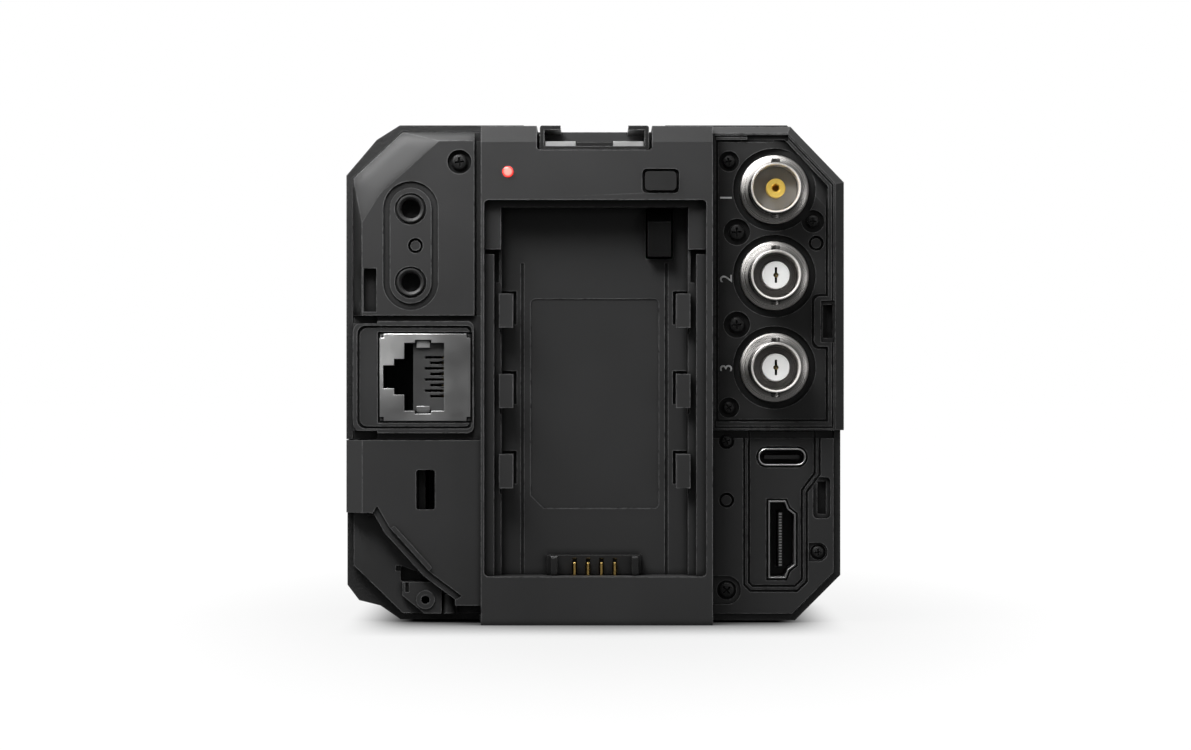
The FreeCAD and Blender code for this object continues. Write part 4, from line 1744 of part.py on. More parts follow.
for index in range(pin_count):
    angle = math.radians(270 + (index - (pin_count - 1) / 2) * pin_angle)
    pin_spots.append((pin_row * math.cos(angle), size.lens_z + pin_row * math.sin(angle)))
name(cut(contact_wedge, *[rod("y", spot, contact_pin_r + size.turn_gap, (pin_root, contact_reach[1]))
                          for spot in pin_spots]),
     "lens_contact_block")
name(together(*[rod("y", spot, contact_pin_r, (pin_root, contact_span[1] + 0.5)) for spot in pin_spots]),
     "lens_contact_pins")

unlock_back = front_rim - 2.0
unlock_rim = 1.2
collar_y = (front_rim - 4.0, front_rim - 3.0)
collar_rim = 0.4
name(fuse(rod("y", unlock_middle, size.unlock_r, (unlock_back, cover_front + size.unlock_proud)),
          rod("y", unlock_middle, size.unlock_r + unlock_rim, (unlock_back - unlock_rim, unlock_back))),
     "lens_release_button")
name(fuse(rod("y", (pin_x, size.lens_z), size.pin_r, (collar_y[1], ring_face + size.pin_proud)),
          rod("y", (pin_x, size.lens_z), size.pin_r + collar_rim, collar_y)), "lens_lock_pin")

# Image sensor: ceramic package, die, glass and the plate that carries them
package_x = grown(die_x, size.package_rim)
package_z = grown(die_z, size.package_rim)
carrier_y = image_y - 4.4
carrier_front = carrier_y + size.carrier_thick
glass_y = image_y + 0.4
die_back = image_y - 0.5
well_rim = 2.2
glass_rim = 3.6
name(cut(box(package_x, (carrier_front, glass_y), package_z),
         box(grown(die_x, well_rim), (die_back, glass_y + slack), grown(die_z, well_rim))),
     "sensor_package")
name(box(die_x, (die_back, image_y), die_z), "image_sensor")
name(box(grown(die_x, glass_rim), (glass_y, glass_y + slack), grown(die_z, glass_rim)),
     "sensor_cover_glass")
lens_middle = (size.lens_z, size.lens_z)
post_spots = [(x, z) for z in grown(lens_middle, size.carrier_post_z)
              for x in (-size.carrier_post_x, size.carrier_post_x)]
name(fuse(box((-size.carrier_half_x, size.carrier_half_x), (carrier_y, carrier_front),
              grown(lens_middle, size.carrier_half_z)),
          *[rod("y", spot, size.carrier_post_r, (carrier_y + slack, front_rim)) for spot in post_spots]),
     "sensor_carrier")

# Boards, heat sink and their standoffs
main_y = (size.main_board_y, size.main_board_y + size.board_thick)
sink_base = (size.sink_y, size.sink_y + size.sink_base_thick)
fin_count = 13
sink_low = size.lens_z - size.sink_below
fin_z = (sink_low, sink_low + size.fin_pitch * fin_count)
board_x = (-size.board_left, size.board_right)
board_z = (inner_base + size.board_foot, inner_top - size.board_head)
chip = box((-size.chip_half, size.chip_half), (sink_base[1], main_y[0]), grown(lens_middle, size.chip_half))
module_left = -30.0
module_right = 18.0
modules = [box((x, x + size.module_wide), (main_y[0] - size.module_deep, main_y[0]),
               (z, z + size.module_tall))
           for x in (module_left, module_right)
           for z in (size.module_low_z, size.module_mid_z, size.module_high_z)]
name(fuse(box(board_x, main_y, board_z), chip, *modules), "main_board")
fin_first = (size.fin_pitch - size.fin_thick) / 2
sink_x = (-size.sink_left, size.sink_right)
fin_places = [fin_z[0] + index * size.fin_pitch + fin_first for index in range(fin_count)]
name(fuse(box(sink_x, sink_base, fin_z),
          *[box(sink_x, (sink_base[0] - size.fin_long, sink_base[0]), (place, place + size.fin_thick))
            for place in fin_places]), "heat_sink")
port_board_x = (27.5, 42.0)
port_board_z = (monitor_z[0] - wall_gap, sdi_low - slack)
link_z = grown((monitor_middle + 4.5, monitor_middle + 4.5), 6.0)
name(fuse(box((-size.io_left, size.io_right), (io_back, io_back + size.board_thick), board_z),
          box(port_board_x, (port_board_y, port_board_y + size.board_thick), port_board_z),
          box(grown(port_board_x, -2.0), (port_board_y + size.board_thick, io_back), link_z)),
     "connector_board")
stand_z = (board_z[0] + size.stand_low, board_z[1] - size.stand_high)
stand_spots = [(x, z) for x in (-size.stand_left, size.stand_right) for z in stand_z]
sensor_spots = [(x, z) for x in (-size.stand_sensor, size.stand_sensor)
                for z in grown(lens_middle, size.stand_sensor)]
name(together(
    *[rod("y", spot, size.stand_r, (io_back + size.board_thick, main_y[0])) for spot in stand_spots],
    *[rod("y", spot, size.stand_r, (main_y[1], carrier_y)) for spot in sensor_spots]),
     "board_standoffs")

# Fan: square housing on the right wall, shaft and seven blades
fan_half = size.fan_side / 2
fan_right = inner_right
fan_left = inner_right - size.fan_thick
fan_axis = (size.fan_y, size.fan_z)
fan_y = (size.fan_y, size.fan_y)
fan_z = (size.fan_z, size.fan_z)
fan_body = cut(box((fan_left, fan_right), grown(fan_y, fan_half), grown(fan_z, fan_half)),
               rod("x", fan_axis, size.fan_bore, (fan_left - slack, fan_right + slack)))
arm_reach = size.fan_bore + 0.5
arm_x = (fan_left, fan_left + size.fan_arm_deep)
fan_frame = fuse(
    fan_body,
    box(arm_x, grown(fan_y, arm_reach), grown(fan_z, size.fan_arm)),
    box(arm_x, grown(fan_y, size.fan_arm), grown(fan_z, arm_reach)),
    rod("x", fan_axis, size.hub_r, arm_x),
    rod("x", fan_axis, size.shaft_r, (fan_left, fan_right - 2.2)))
name(fan_frame, "fan_housing")
rotor_span = (arm_x[1] + 0.4, fan_right - slack)
hub = rod("x", fan_axis, size.hub_r, rotor_span)
blade_count = 7
blade_pitch = 35.0
fan_blade_thick = 1.0
rotor_blades = []
for index in range(blade_count):
    blade = add("Part::Box", "blade")
    bind(blade, "Length", (rotor_span[1] - rotor_span[0] - 1.6) / math.cos(math.radians(blade_pitch)))
    bind(blade, "Width", size.blade_r - slack)
    bind(blade, "Height", fan_blade_thick)
    angle = 360.0 * index / blade_count
    tilt = FreeCAD.Rotation(Vector(1, 0, 0), angle).multiply(FreeCAD.Rotation(Vector(0, 1, 0), blade_pitch))
    blade.Placement = FreeCAD.Placement(Vector(), tilt)
    bind(blade, "Placement.Base.x", rotor_span[0] + 0.5)
    bind(blade, "Placement.Base.y", size.fan_y)
    bind(blade, "Placement.Base.z", size.fan_z)
    rotor_blades.append(blade)
shaft_hole = rod("x", fan_axis, size.shaft_r + size.turn_gap,
                 (rotor_span[0] - slack, rotor_span[1] - slack))
name(cut(fuse(hub, *rotor_blades), shaft_hole), "fan_rotor")

# Controls on the left side: plate in the casing's window, switch board and three buttons
plate_out = -size.shell_left + wall_gap
plate_in = inner_left + slack
control = start_body("control_panel")
pad(control, "x", (plate_out, inner_left), rectangle(control_y, control_z, size.window_corner))
pad(control, "x", (inner_left, plate_in),
    rectangle(grown(control_y, size.control_lip), grown(control_z, size.control_lip),
              size.window_corner + slack))
switch_x = (plate_in + size.switch_gap, plate_in + size.switch_gap + size.board_thick)
boss_spots = [(y, z) for y in grown(control_y, -size.switch_boss_in)
              for z in grown(control_z, -size.switch_boss_in)]
pad(control, "x", (plate_in, switch_x[0]), *[circle(y, z, size.switch_boss) for y, z in boss_spots])
control_middle = (control_y[0] + control_y[1]) / 2
buttons = [("record_button", size.record_r, size.record_z), ("direction_pad", size.pad_r, size.pad_z),
           ("power_button", size.power_r, size.power_z)]
pocket(control, "x", (plate_out - slack, switch_x[0]),
       *[circle(control_middle, height, radius + size.fit_gap) for label, radius, height in buttons])
stem_in = switch_x[0] - size.button_travel - size.fit_gap
skirt_x = (plate_in + size.turn_gap, plate_in + 0.65)
skirt_rim = 0.9
neck_in = 0.4
for label, radius, height in buttons:
    spot = (control_middle, height)
    cap = rod("x", spot, radius, (plate_out - size.button_proud, plate_in - wall_gap))
    skirt = rod("x", spot, radius + skirt_rim, skirt_x)
    neck = rod("x", spot, radius - neck_in, (plate_in - neck_in, stem_in))
    name(fuse(cap, neck, skirt), label)
name(box(switch_x, grown(control_y, -slack), grown(control_z, -slack)), "switch_board")

doc.recompute()
for item in doc.Objects:
    if "Invalid" in item.State or "Error" in item.State:
        raise RuntimeError(f"{item.Label}: {item.State}")
    if item.TypeId == "PartDesign::Pocket" and item.BaseFeature is not None:
        if item.Shape.Volume >= item.BaseFeature.Shape.Volume - 1e-6:
            raise RuntimeError(f"{item.Label} cuts nothing")
for item in nodes:
    if item.Shape.isNull() or not item.Shape.isValid():
        raise RuntimeError(f"{item.Label}: no valid solid")
for item in nodes:
    item.Shape.exportStep(f"parts/{item.Label}.step")
print(f"{len(nodes)} nodes, {sum(len(item.Shape.Solids) for item in nodes)} solids")
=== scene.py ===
import json
import math
import bmesh
import bpy
from mathutils import Matrix, Vector


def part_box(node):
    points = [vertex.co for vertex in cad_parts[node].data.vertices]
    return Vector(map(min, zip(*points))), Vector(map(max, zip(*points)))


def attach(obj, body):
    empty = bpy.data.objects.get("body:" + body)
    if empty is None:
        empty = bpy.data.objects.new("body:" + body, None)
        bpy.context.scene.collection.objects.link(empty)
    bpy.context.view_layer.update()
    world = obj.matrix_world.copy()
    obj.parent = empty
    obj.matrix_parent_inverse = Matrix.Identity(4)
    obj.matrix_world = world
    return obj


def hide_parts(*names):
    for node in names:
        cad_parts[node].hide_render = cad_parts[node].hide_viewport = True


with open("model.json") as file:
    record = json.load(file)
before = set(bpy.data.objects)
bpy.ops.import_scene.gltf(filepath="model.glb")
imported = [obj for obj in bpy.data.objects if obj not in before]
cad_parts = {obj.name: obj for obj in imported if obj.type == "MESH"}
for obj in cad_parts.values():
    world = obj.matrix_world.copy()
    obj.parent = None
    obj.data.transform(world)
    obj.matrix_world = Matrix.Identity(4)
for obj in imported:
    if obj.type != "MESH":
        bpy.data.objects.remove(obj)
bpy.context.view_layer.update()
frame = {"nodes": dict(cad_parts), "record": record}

mm = 0.001
print("frame loaded:", len(frame["nodes"]), "nodes")

# Camera, floor and studio light, in metres

shot = {
    "distance": 0.839,      # from the middle plane, behind the camera body
    "height": 0.0463,
    "lens": 130.8,          # for a 36 mm wide sensor
}
studio = {
    "floorSize": 12.0,
    "floorSeen": (0.02, 0.02, 0.02),
    "floorBounce": (0.09, 0.09, 0.09),
    "shadeReach": 0.044,    # how far the shade of a standing object spreads
    "shadePower": 2.4,
    "shadeFull": 0.034,     # to either side of the middle
    "shadeGone": 0.0475,
    # painted shade: the paper under and round the object glows less than further out
    "nearGlow": 0.85,       # the paper under and round the object
    "farGlow": 1.0,
    "glowFrom": 0.06,
    "glowTo": 0.34,
    "glowNarrow": 3.0,      # the grey pool is this much narrower across than along the view
    "ambient": 0.07,
    "wallsLow": 0.03,       # what metal and glass see of the studio's walls
    "wallsHigh": 0.6,
    "wallsTop": 0.6,
}
middle = (0, 0, 0.046)
# name: place, aim, size, power
lamps = {
    "keyBox": ((-0.1, -0.13, 0.21), (0, -0.03, 0.085), (0.24, 0.08), 0.95),
    "topBox": ((0.0, 0.04, 0.6), middle, (0.9, 0.7), 5.5),
    "leftBox": ((-0.6, -0.15, 0.3), middle, (0.2, 0.4), 0.45),
    "sparkBox": ((0.3, -0.45, 0.05), (0.033, -0.035, 0.065), (0.08, 0.08), 0.12),
    "rightBox": ((0.6, -0.25, 0.3), middle, (0.2, 0.4), 0.5),
    "frontBox": ((0.0, 0.7, 0.3), middle, (0.6, 0.4), 2.6),
}


def makeCamera():
    data = bpy.data.cameras.new("shotCamera")
    data.sensor_width = 36
    data.lens = shot["lens"]
    data.clip_start = 0.01
    data.clip_end = 60
    camera = bpy.data.objects.new("shotCamera", data)
    camera.location = (0, -shot["distance"], shot["height"])
    camera.rotation_euler = (math.radians(90), 0, 0)
    bpy.context.scene.collection.objects.link(camera)
    bpy.context.scene.camera = camera


def addNode(tree, kind, **settings):
    node = tree.nodes.new(kind)
    for name, value in settings.items():
        setattr(node, name, value)
    return node


def link(tree, output, target):
    tree.links.new(output, target)


def mapRange(tree, source, low, high, toLow, toHigh, smooth=False):
    node = addNode(tree, "ShaderNodeMapRange", interpolation_type="SMOOTHSTEP" if smooth else "LINEAR")
    for label, value in (("From Min", low), ("From Max", high), ("To Min", toLow), ("To Max", toHigh)):
        node.inputs[label].default_value = value
    link(tree, source, node.inputs["Value"])
    return node.outputs[0]


def mixColour(tree, amount, first, second):
    node = addNode(tree, "ShaderNodeMix", data_type="RGBA")
    link(tree, amount, node.inputs[0])
    for socket, colour in ((node.inputs[6], first), (node.inputs[7], second)):
        if isinstance(colour, tuple):
            socket.default_value = (*colour, 1)
        else:
            link(tree, colour, socket)
    return node.outputs[2]


# Paper that glows for the camera alone: a painted soft shadow round what stands on it and a painted grey pool
# near it, turning plain white further out
def makeFloorPaper():
    material = bpy.data.materials.new("floorPaper")
    material.use_nodes = True
    tree = material.node_tree
    tree.nodes.clear()
    path = addNode(tree, "ShaderNodeLightPath")
    place = addNode(tree, "ShaderNodeTexCoord")
    split = addNode(tree, "ShaderNodeSeparateXYZ")
    link(tree, place.outputs["Object"], split.inputs[0])
    aside = addNode(tree, "ShaderNodeMath", operation="ABSOLUTE")
    link(tree, split.outputs["X"], aside.inputs[0])
    # painted shadow: occlusion dims the glow round what stands on it, less and less to the sides
    cover = addNode(tree, "ShaderNodeAmbientOcclusion", samples=16)
    cover.inputs["Distance"].default_value = studio["shadeReach"]
    soft = addNode(tree, "ShaderNodeMath", operation="POWER")
    soft.inputs[1].default_value = studio["shadePower"]
    link(tree, cover.outputs["AO"], soft.inputs[0])
    shade = addNode(tree, "ShaderNodeMix")
    shade.inputs[3].default_value = 1.0
    beside = mapRange(tree, aside.outputs[0], studio["shadeFull"], studio["shadeGone"], 0, 1, True)
    link(tree, beside, shade.inputs[0])
    link(tree, soft.outputs[0], shade.inputs[2])
    # painted grey pool: the glow is lower near the object
    pool = addNode(tree, "ShaderNodeVectorMath", operation="MULTIPLY")
    pool.inputs[1].default_value = (studio["glowNarrow"], 1, 1)
    away = addNode(tree, "ShaderNodeVectorMath", operation="LENGTH")
    link(tree, place.outputs["Object"], pool.inputs[0])
    link(tree, pool.outputs["Vector"], away.inputs[0])
    pale = mapRange(tree, away.outputs["Value"], studio["glowFrom"], studio["glowTo"], studio["nearGlow"],
                    studio["farGlow"], True)
    paintedFloorShade = addNode(tree, "ShaderNodeMath", operation="MULTIPLY")
    link(tree, pale, paintedFloorShade.inputs[0])
    link(tree, shade.outputs[0], paintedFloorShade.inputs[1])
    strength = addNode(tree, "ShaderNodeMath", operation="MULTIPLY")
    link(tree, path.outputs["Is Camera Ray"], strength.inputs[0])
    link(tree, paintedFloorShade.outputs[0], strength.inputs[1])
    glow = addNode(tree, "ShaderNodeEmission")
    link(tree, strength.outputs[0], glow.inputs["Strength"])
    paper = addNode(tree, "ShaderNodeBsdfDiffuse")
    link(tree, mixColour(tree, path.outputs["Is Camera Ray"], studio["floorBounce"], studio["floorSeen"]),
         paper.inputs["Color"])
    both = addNode(tree, "ShaderNodeAddShader")
    link(tree, paper.outputs[0], both.inputs[0])
    link(tree, glow.outputs[0], both.inputs[1])
    output = addNode(tree, "ShaderNodeOutputMaterial")
    link(tree, both.outputs[0], output.inputs["Surface"])
    return material


def makeFloor():
    bm = bmesh.new()
    bmesh.ops.create_grid(bm, x_segments=1, y_segments=1, size=studio["floorSize"] / 2)
    mesh = bpy.data.meshes.new("studioFloor")
    bm.to_mesh(mesh)
    bm.free()
    mesh.materials.append(makeFloorPaper())
    floor = bpy.data.objects.new("studioFloor", mesh)
    bpy.context.scene.collection.objects.link(floor)


def makeWorld():
    world = bpy.data.worlds.new("studioWorld")
    bpy.context.scene.world = world
    world.use_nodes = True
    tree = world.node_tree
    tree.nodes.clear()
    coordinates = addNode(tree, "ShaderNodeTexCoord")
    split = addNode(tree, "ShaderNodeSeparateXYZ")
    path = addNode(tree, "ShaderNodeLightPath")
    clear = addNode(tree, "ShaderNodeMath", operation="MAXIMUM")
    glossyMix = addNode(tree, "ShaderNodeMix")
    glossyMix.inputs[2].default_value = studio["ambient"]
    cameraMix = addNode(tree, "ShaderNodeMix")
    cameraMix.inputs[3].default_value = 1.0
    background = addNode(tree, "ShaderNodeBackground")
    background.inputs["Color"].default_value = (1, 1, 1, 1)
    output = addNode(tree, "ShaderNodeOutputWorld")
    link(tree, coordinates.outputs["Generated"], split.inputs[0])
    link(tree, path.outputs["Is Glossy Ray"], clear.inputs[0])
    link(tree, path.outputs["Is Transmission Ray"], clear.inputs[1])
    link(tree, clear.outputs[0], glossyMix.inputs[0])
    # the studio's walls, dark low down and pale overhead
    walls = mapRange(tree, split.outputs["Z"], 0, studio["wallsTop"], studio["wallsLow"], studio["wallsHigh"])
    link(tree, walls, glossyMix.inputs[3])
    link(tree, path.outputs["Is Camera Ray"], cameraMix.inputs[0])
    link(tree, glossyMix.outputs[0], cameraMix.inputs[2])
    link(tree, cameraMix.outputs[0], background.inputs["Strength"])
    link(tree, background.outputs[0], output.inputs["Surface"])


def makeLamp(name, place, aim, size, power):
    data = bpy.data.lights.new(name, "AREA")
    data.shape = "RECTANGLE"
    data.size, data.size_y = size
    data.energy = power
    lamp = bpy.data.objects.new(name, data)
    lamp.location = place
    lamp.rotation_euler = (Vector(aim) - Vector(place)).to_track_quat("-Z", "Y").to_euler()
    bpy.context.scene.collection.objects.link(lamp)


bpy.context.scene.view_settings.view_transform = "Standard"
makeCamera()
makeFloor()
makeWorld()
for label, (place, aim, size, power) in lamps.items():
    makeLamp(label, place, aim, size, power)
print("studio ready")

# Shared shader groups


def startGroup(name, inputs, outputs):
    group = bpy.data.node_groups.new(name, "ShaderNodeTree")
    for label, kind, value in inputs:
        socket = group.interface.new_socket(name=label, in_out="INPUT", socket_type=kind)
        socket.default_value = value
    for label, kind in outputs:
        group.interface.new_socket(name=label, in_out="OUTPUT", socket_type=kind)
    return group, addNode(group, "NodeGroupInput"), addNode(group, "NodeGroupOutput")


# Moulded or painted grain: fine bumps over broad, faint unevenness
def makeGrainGroup():
    group, given, result = startGroup(
        "surfaceGrain",
        [("Grain Scale", "NodeSocketFloat", 3500.0), ("Patch Scale", "NodeSocketFloat", 60.0)],
        [("Height", "NodeSocketFloat"), ("Patches", "NodeSocketFloat")])
    place = addNode(group, "ShaderNodeTexCoord")
    grain = addNode(group, "ShaderNodeTexNoise", noise_dimensions="3D")
    grain.inputs["Detail"].default_value = 3.0
    grain.inputs["Roughness"].default_value = 0.6
    patches = addNode(group, "ShaderNodeTexNoise", noise_dimensions="3D")
    patches.inputs["Detail"].default_value = 4.0
    for texture, scale in ((grain, "Grain Scale"), (patches, "Patch Scale")):
        link(group, place.outputs["Object"], texture.inputs["Vector"])
        link(group, given.outputs[scale], texture.inputs["Scale"])
    link(group, grain.outputs["Fac"], result.inputs["Height"])
    link(group, patches.outputs["Fac"], result.inputs["Patches"])
    return group


# cosines between a face and its rounded edge, and the noise values that break the wear and painted highlight
# up
edgeLook = {"flat": 0.997, "turned": 0.93, "breakLow": 0.3, "breakHigh": 0.52}
# share of the reach, painted shade fully dark at, clear at
seamLook = [(1.0, 0.5, 0.95), (2.5, 0.2, 0.42)]


# Where handling has polished an edge, and where edges are lightened as a painted highlight
def makeEdgeGroup():
    group, given, result = startGroup(
        "edgeWearAndHighlight", [("Reach", "NodeSocketFloat", 0.0003), ("Breakup", "NodeSocketFloat", 900.0)],
        [("Mask", "NodeSocketFloat")])
    rounded = addNode(group, "ShaderNodeBevel", samples=4)
    geometry = addNode(group, "ShaderNodeNewGeometry")
    agree = addNode(group, "ShaderNodeVectorMath", operation="DOT_PRODUCT")
    place = addNode(group, "ShaderNodeTexCoord")
    breakup = addNode(group, "ShaderNodeTexNoise", noise_dimensions="3D")
    wornAndHighlit = addNode(group, "ShaderNodeMath", operation="MULTIPLY")
    link(group, given.outputs["Reach"], rounded.inputs["Radius"])
    link(group, given.outputs["Breakup"], breakup.inputs["Scale"])
    link(group, rounded.outputs["Normal"], agree.inputs[0])
    link(group, geometry.outputs["Normal"], agree.inputs[1])
    link(group, place.outputs["Object"], breakup.inputs["Vector"])
    turned = mapRange(group, agree.outputs["Value"], edgeLook["flat"], edgeLook["turned"], 0, 1)
    link(group, turned, wornAndHighlit.inputs[0])
    broken = mapRange(group, breakup.outputs["Fac"], edgeLook["breakLow"], edgeLook["breakHigh"], 0, 1)
    link(group, broken, wornAndHighlit.inputs[1])
    link(group, wornAndHighlit.outputs[0], result.inputs["Mask"])
    return group


# Painted shade in seams, grooves and corners, darkened by occlusion
def makeSeamGroup():
    group, given, result = startGroup(
        "seamShade", [("Reach", "NodeSocketFloat", 0.0012)], [("Mask", "NodeSocketFloat")])
    masks = addNode(group, "ShaderNodeMath", operation="MAXIMUM")
    for place, (reach, low, high) in enumerate(seamLook):
        cover = addNode(group, "ShaderNodeAmbientOcclusion", samples=8)
        spread = addNode(group, "ShaderNodeMath", operation="MULTIPLY")
        spread.inputs[1].default_value = reach
        link(group, given.outputs["Reach"], spread.inputs[0])
        link(group, spread.outputs[0], cover.inputs["Distance"])
        link(group, mapRange(group, cover.outputs["AO"], low, high, 1, 0), masks.inputs[place])
    link(group, masks.outputs[0], result.inputs["Mask"])
    return group


grainGroup = makeGrainGroup()
edgeGroup = makeEdgeGroup()
seamGroup = makeSeamGroup()


def useGroup(tree, group, **values):
    node = addNode(tree, "ShaderNodeGroup", node_tree=group)
    for label, value in values.items():
        node.inputs[label.replace("_", " ")].default_value = value
    return node


def startMaterial(name):
    material = bpy.data.materials.new(name)
    material.use_nodes = True
    tree = material.node_tree
    return material, tree, tree.nodes["Principled BSDF"]


def patchTone(tree, grain, look):
    return mixColour(tree, grain.outputs["Patches"], look["dark"], look["pale"])


noiseSpan = (0.3, 0.7)      # where most of a noise texture's values lie


def spreadRough(tree, source, look):
    return mapRange(tree, source, *noiseSpan, look["roughLow"], look["roughHigh"])


# cosines against the way the rear faces, and leftward parts of a face's normal between which painted shade
# goes from full to none
slopes = {"flat": 0.98, "sloping": 0.95, "leftShadeFull": -0.68, "leftShadeNone": -0.58}


# Runs the shading smoothly over low ridges between sloping faces, and leaves the flat rear face alone
def softNormal(tree, reach):
    rounded = addNode(tree, "ShaderNodeBevel", samples=12)
    rounded.inputs["Radius"].default_value = reach
    geometry = addNode(tree, "ShaderNodeNewGeometry")
    facing = addNode(tree, "ShaderNodeVectorMath", operation="DOT_PRODUCT")
    facing.inputs[1].default_value = (0, -1, 0)
    link(tree, geometry.outputs["Normal"], facing.inputs[0])
    sloping = mapRange(tree, facing.outputs["Value"], slopes["flat"], slopes["sloping"], 0, 1)
    choice = addNode(tree, "ShaderNodeMix", data_type="VECTOR")
    link(tree, sloping, choice.inputs[0])
    link(tree, geometry.outputs["Normal"], choice.inputs[4])
    link(tree, rounded.outputs["Normal"], choice.inputs[5])
    return choice.outputs[1]


def addBump(tree, shader, height, strength, depth, normal=None):
    bump = addNode(tree, "ShaderNodeBump")
    if normal:
        link(tree, normal, bump.inputs["Normal"])
    bump.inputs["Strength"].default_value = strength
    bump.inputs["Distance"].default_value = depth
    link(tree, height, bump.inputs["Height"])
    link(tree, bump.outputs["Normal"], shader.inputs["Normal"])


# Finds the slopes that face the left side more than up or back, for painted shade
def leftShadeMask(tree):
    geometry = addNode(tree, "ShaderNodeNewGeometry")
    split = addNode(tree, "ShaderNodeSeparateXYZ")
    link(tree, geometry.outputs["Normal"], split.inputs[0])
    return mapRange(tree, split.outputs["X"], slopes["leftShadeFull"], slopes["leftShadeNone"], 1, 0, True)


# painted shade colour in seams, grooves and corners
paintedSeamShade = (0.001, 0.001, 0.001)
polish = 0.1     # how much smoother a worn edge is


# Black paint or plastic: grain, faint patches, polished edges lightened partly by wear and partly as a
# painted highlight, painted shade in seams, and painted shade on slopes facing the left where a look asks for
# it
def makeBlack(name, look):
    material, tree, shader = startMaterial(name)
    grain = useGroup(tree, grainGroup, Grain_Scale=look["grainScale"], Patch_Scale=look["patchScale"])
    wearAndHighlight = useGroup(tree, edgeGroup, Reach=look["edgeReach"])
    seam = useGroup(tree, seamGroup, Reach=look.get("seamReach", 0.0014))
    base = patchTone(tree, grain, look)
    # painted shade on slopes that face the left
    if "leftPaintedShade" in look:
        base = mixColour(tree, leftShadeMask(tree), base, look["leftPaintedShade"])
    # edges lighter: partly wear, partly a painted highlight
    wornAndHighlit = mixColour(tree, wearAndHighlight.outputs["Mask"], base, look["edge"])
    smoothed = softNormal(tree, look["rounding"]) if "rounding" in look else None
    # painted shade in seams
    link(tree, mixColour(tree, seam.outputs["Mask"], wornAndHighlit, paintedSeamShade), shader.inputs["Base Color"])
    shader.inputs["Specular IOR Level"].default_value = look["specular"]
    smooth = addNode(tree, "ShaderNodeMix")
    link(tree, wearAndHighlight.outputs["Mask"], smooth.inputs[0])
    link(tree, spreadRough(tree, grain.outputs["Patches"], look), smooth.inputs[2])
    smooth.inputs[3].default_value = look["roughLow"] - polish
    link(tree, smooth.outputs[0], shader.inputs["Roughness"])
    addBump(tree, shader, grain.outputs["Height"], look["bump"], look["depth"], smoothed)
    return material


# in each look, edge is the colour of worn edges, lighter than wear alone as a painted highlight
crinklePaint = {
    "grainScale": 2600.0, "patchScale": 45.0, "edgeReach": 0.0004,
    "dark": (0.009, 0.009, 0.009), "pale": (0.014, 0.014, 0.0143), "edge": (0.07, 0.07, 0.071),
    "roughLow": 0.4, "roughHigh": 0.5, "bump": 0.6, "depth": 0.00012, "specular": 0.4}
mouldedPlastic = {
    "grainScale": 5200.0, "patchScale": 70.0, "edgeReach": 0.0003,
    "dark": (0.021, 0.021, 0.021), "pale": (0.028, 0.028, 0.0285), "edge": (0.12, 0.12, 0.121),
    "roughLow": 0.46, "roughHigh": 0.54, "bump": 0.35, "depth": 0.00004, "specular": 0.3}
housingPlastic = dict(mouldedPlastic, grainScale=6500.0, patchScale=50.0, bump=0.3, depth=0.00003,
                      edge=(0.14, 0.14, 0.142))
smoothPlastic = {
    "grainScale": 7000.0, "patchScale": 120.0, "edgeReach": 0.0002,
    "dark": (0.008, 0.008, 0.008), "pale": (0.014, 0.014, 0.014), "edge": (0.03, 0.03, 0.03),
    "roughLow": 0.34, "roughHigh": 0.42, "bump": 0.15, "depth": 0.00002, "specular": 0.4}
blackOxide = {
    "grainScale": 4200.0, "patchScale": 300.0, "edgeReach": 0.00012, "seamReach": 0.0006,
    "dark": (0.005, 0.005, 0.005), "pale": (0.009, 0.009, 0.009), "edge": (0.06, 0.06, 0.06),
    "roughLow": 0.42, "roughHigh": 0.52, "bump": 0.2, "depth": 0.00002, "specular": 0.3}
redPlastic = {
    "grainScale": 6000.0, "patchScale": 90.0, "edgeReach": 0.0002,
    "dark": (0.35, 0.012, 0.01), "pale": (0.42, 0.02, 0.016), "edge": (0.5, 0.05, 0.04),
    "roughLow": 0.35, "roughHigh": 0.42, "bump": 0.2, "depth": 0.00002, "specular": 0.5}


brushDepth = 0.00002


# Bare metal: brushed, with tarnish in patches
def makeMetal(name, look):
    material, tree, shader = startMaterial(name)
    place = addNode(tree, "ShaderNodeTexCoord")
    stretch = addNode(tree, "ShaderNodeMapping")
    stretch.inputs["Scale"].default_value = look["stretch"]
    brush = addNode(tree, "ShaderNodeTexNoise", noise_dimensions="3D")
    brush.inputs["Scale"].default_value = look["brushScale"]
    brush.inputs["Detail"].default_value = 4.0
    grain = useGroup(tree, grainGroup, Grain_Scale=look["brushScale"] * 2, Patch_Scale=look["patchScale"])
    link(tree, place.outputs["Object"], stretch.inputs["Vector"])
    link(tree, stretch.outputs["Vector"], brush.inputs["Vector"])
    link(tree, patchTone(tree, grain, look), shader.inputs["Base Color"])
    link(tree, spreadRough(tree, brush.outputs["Fac"], look), shader.inputs["Roughness"])
    addBump(tree, shader, brush.outputs["Fac"], look["bump"], brushDepth)
    shader.inputs["Metallic"].default_value = 1.0
    return material
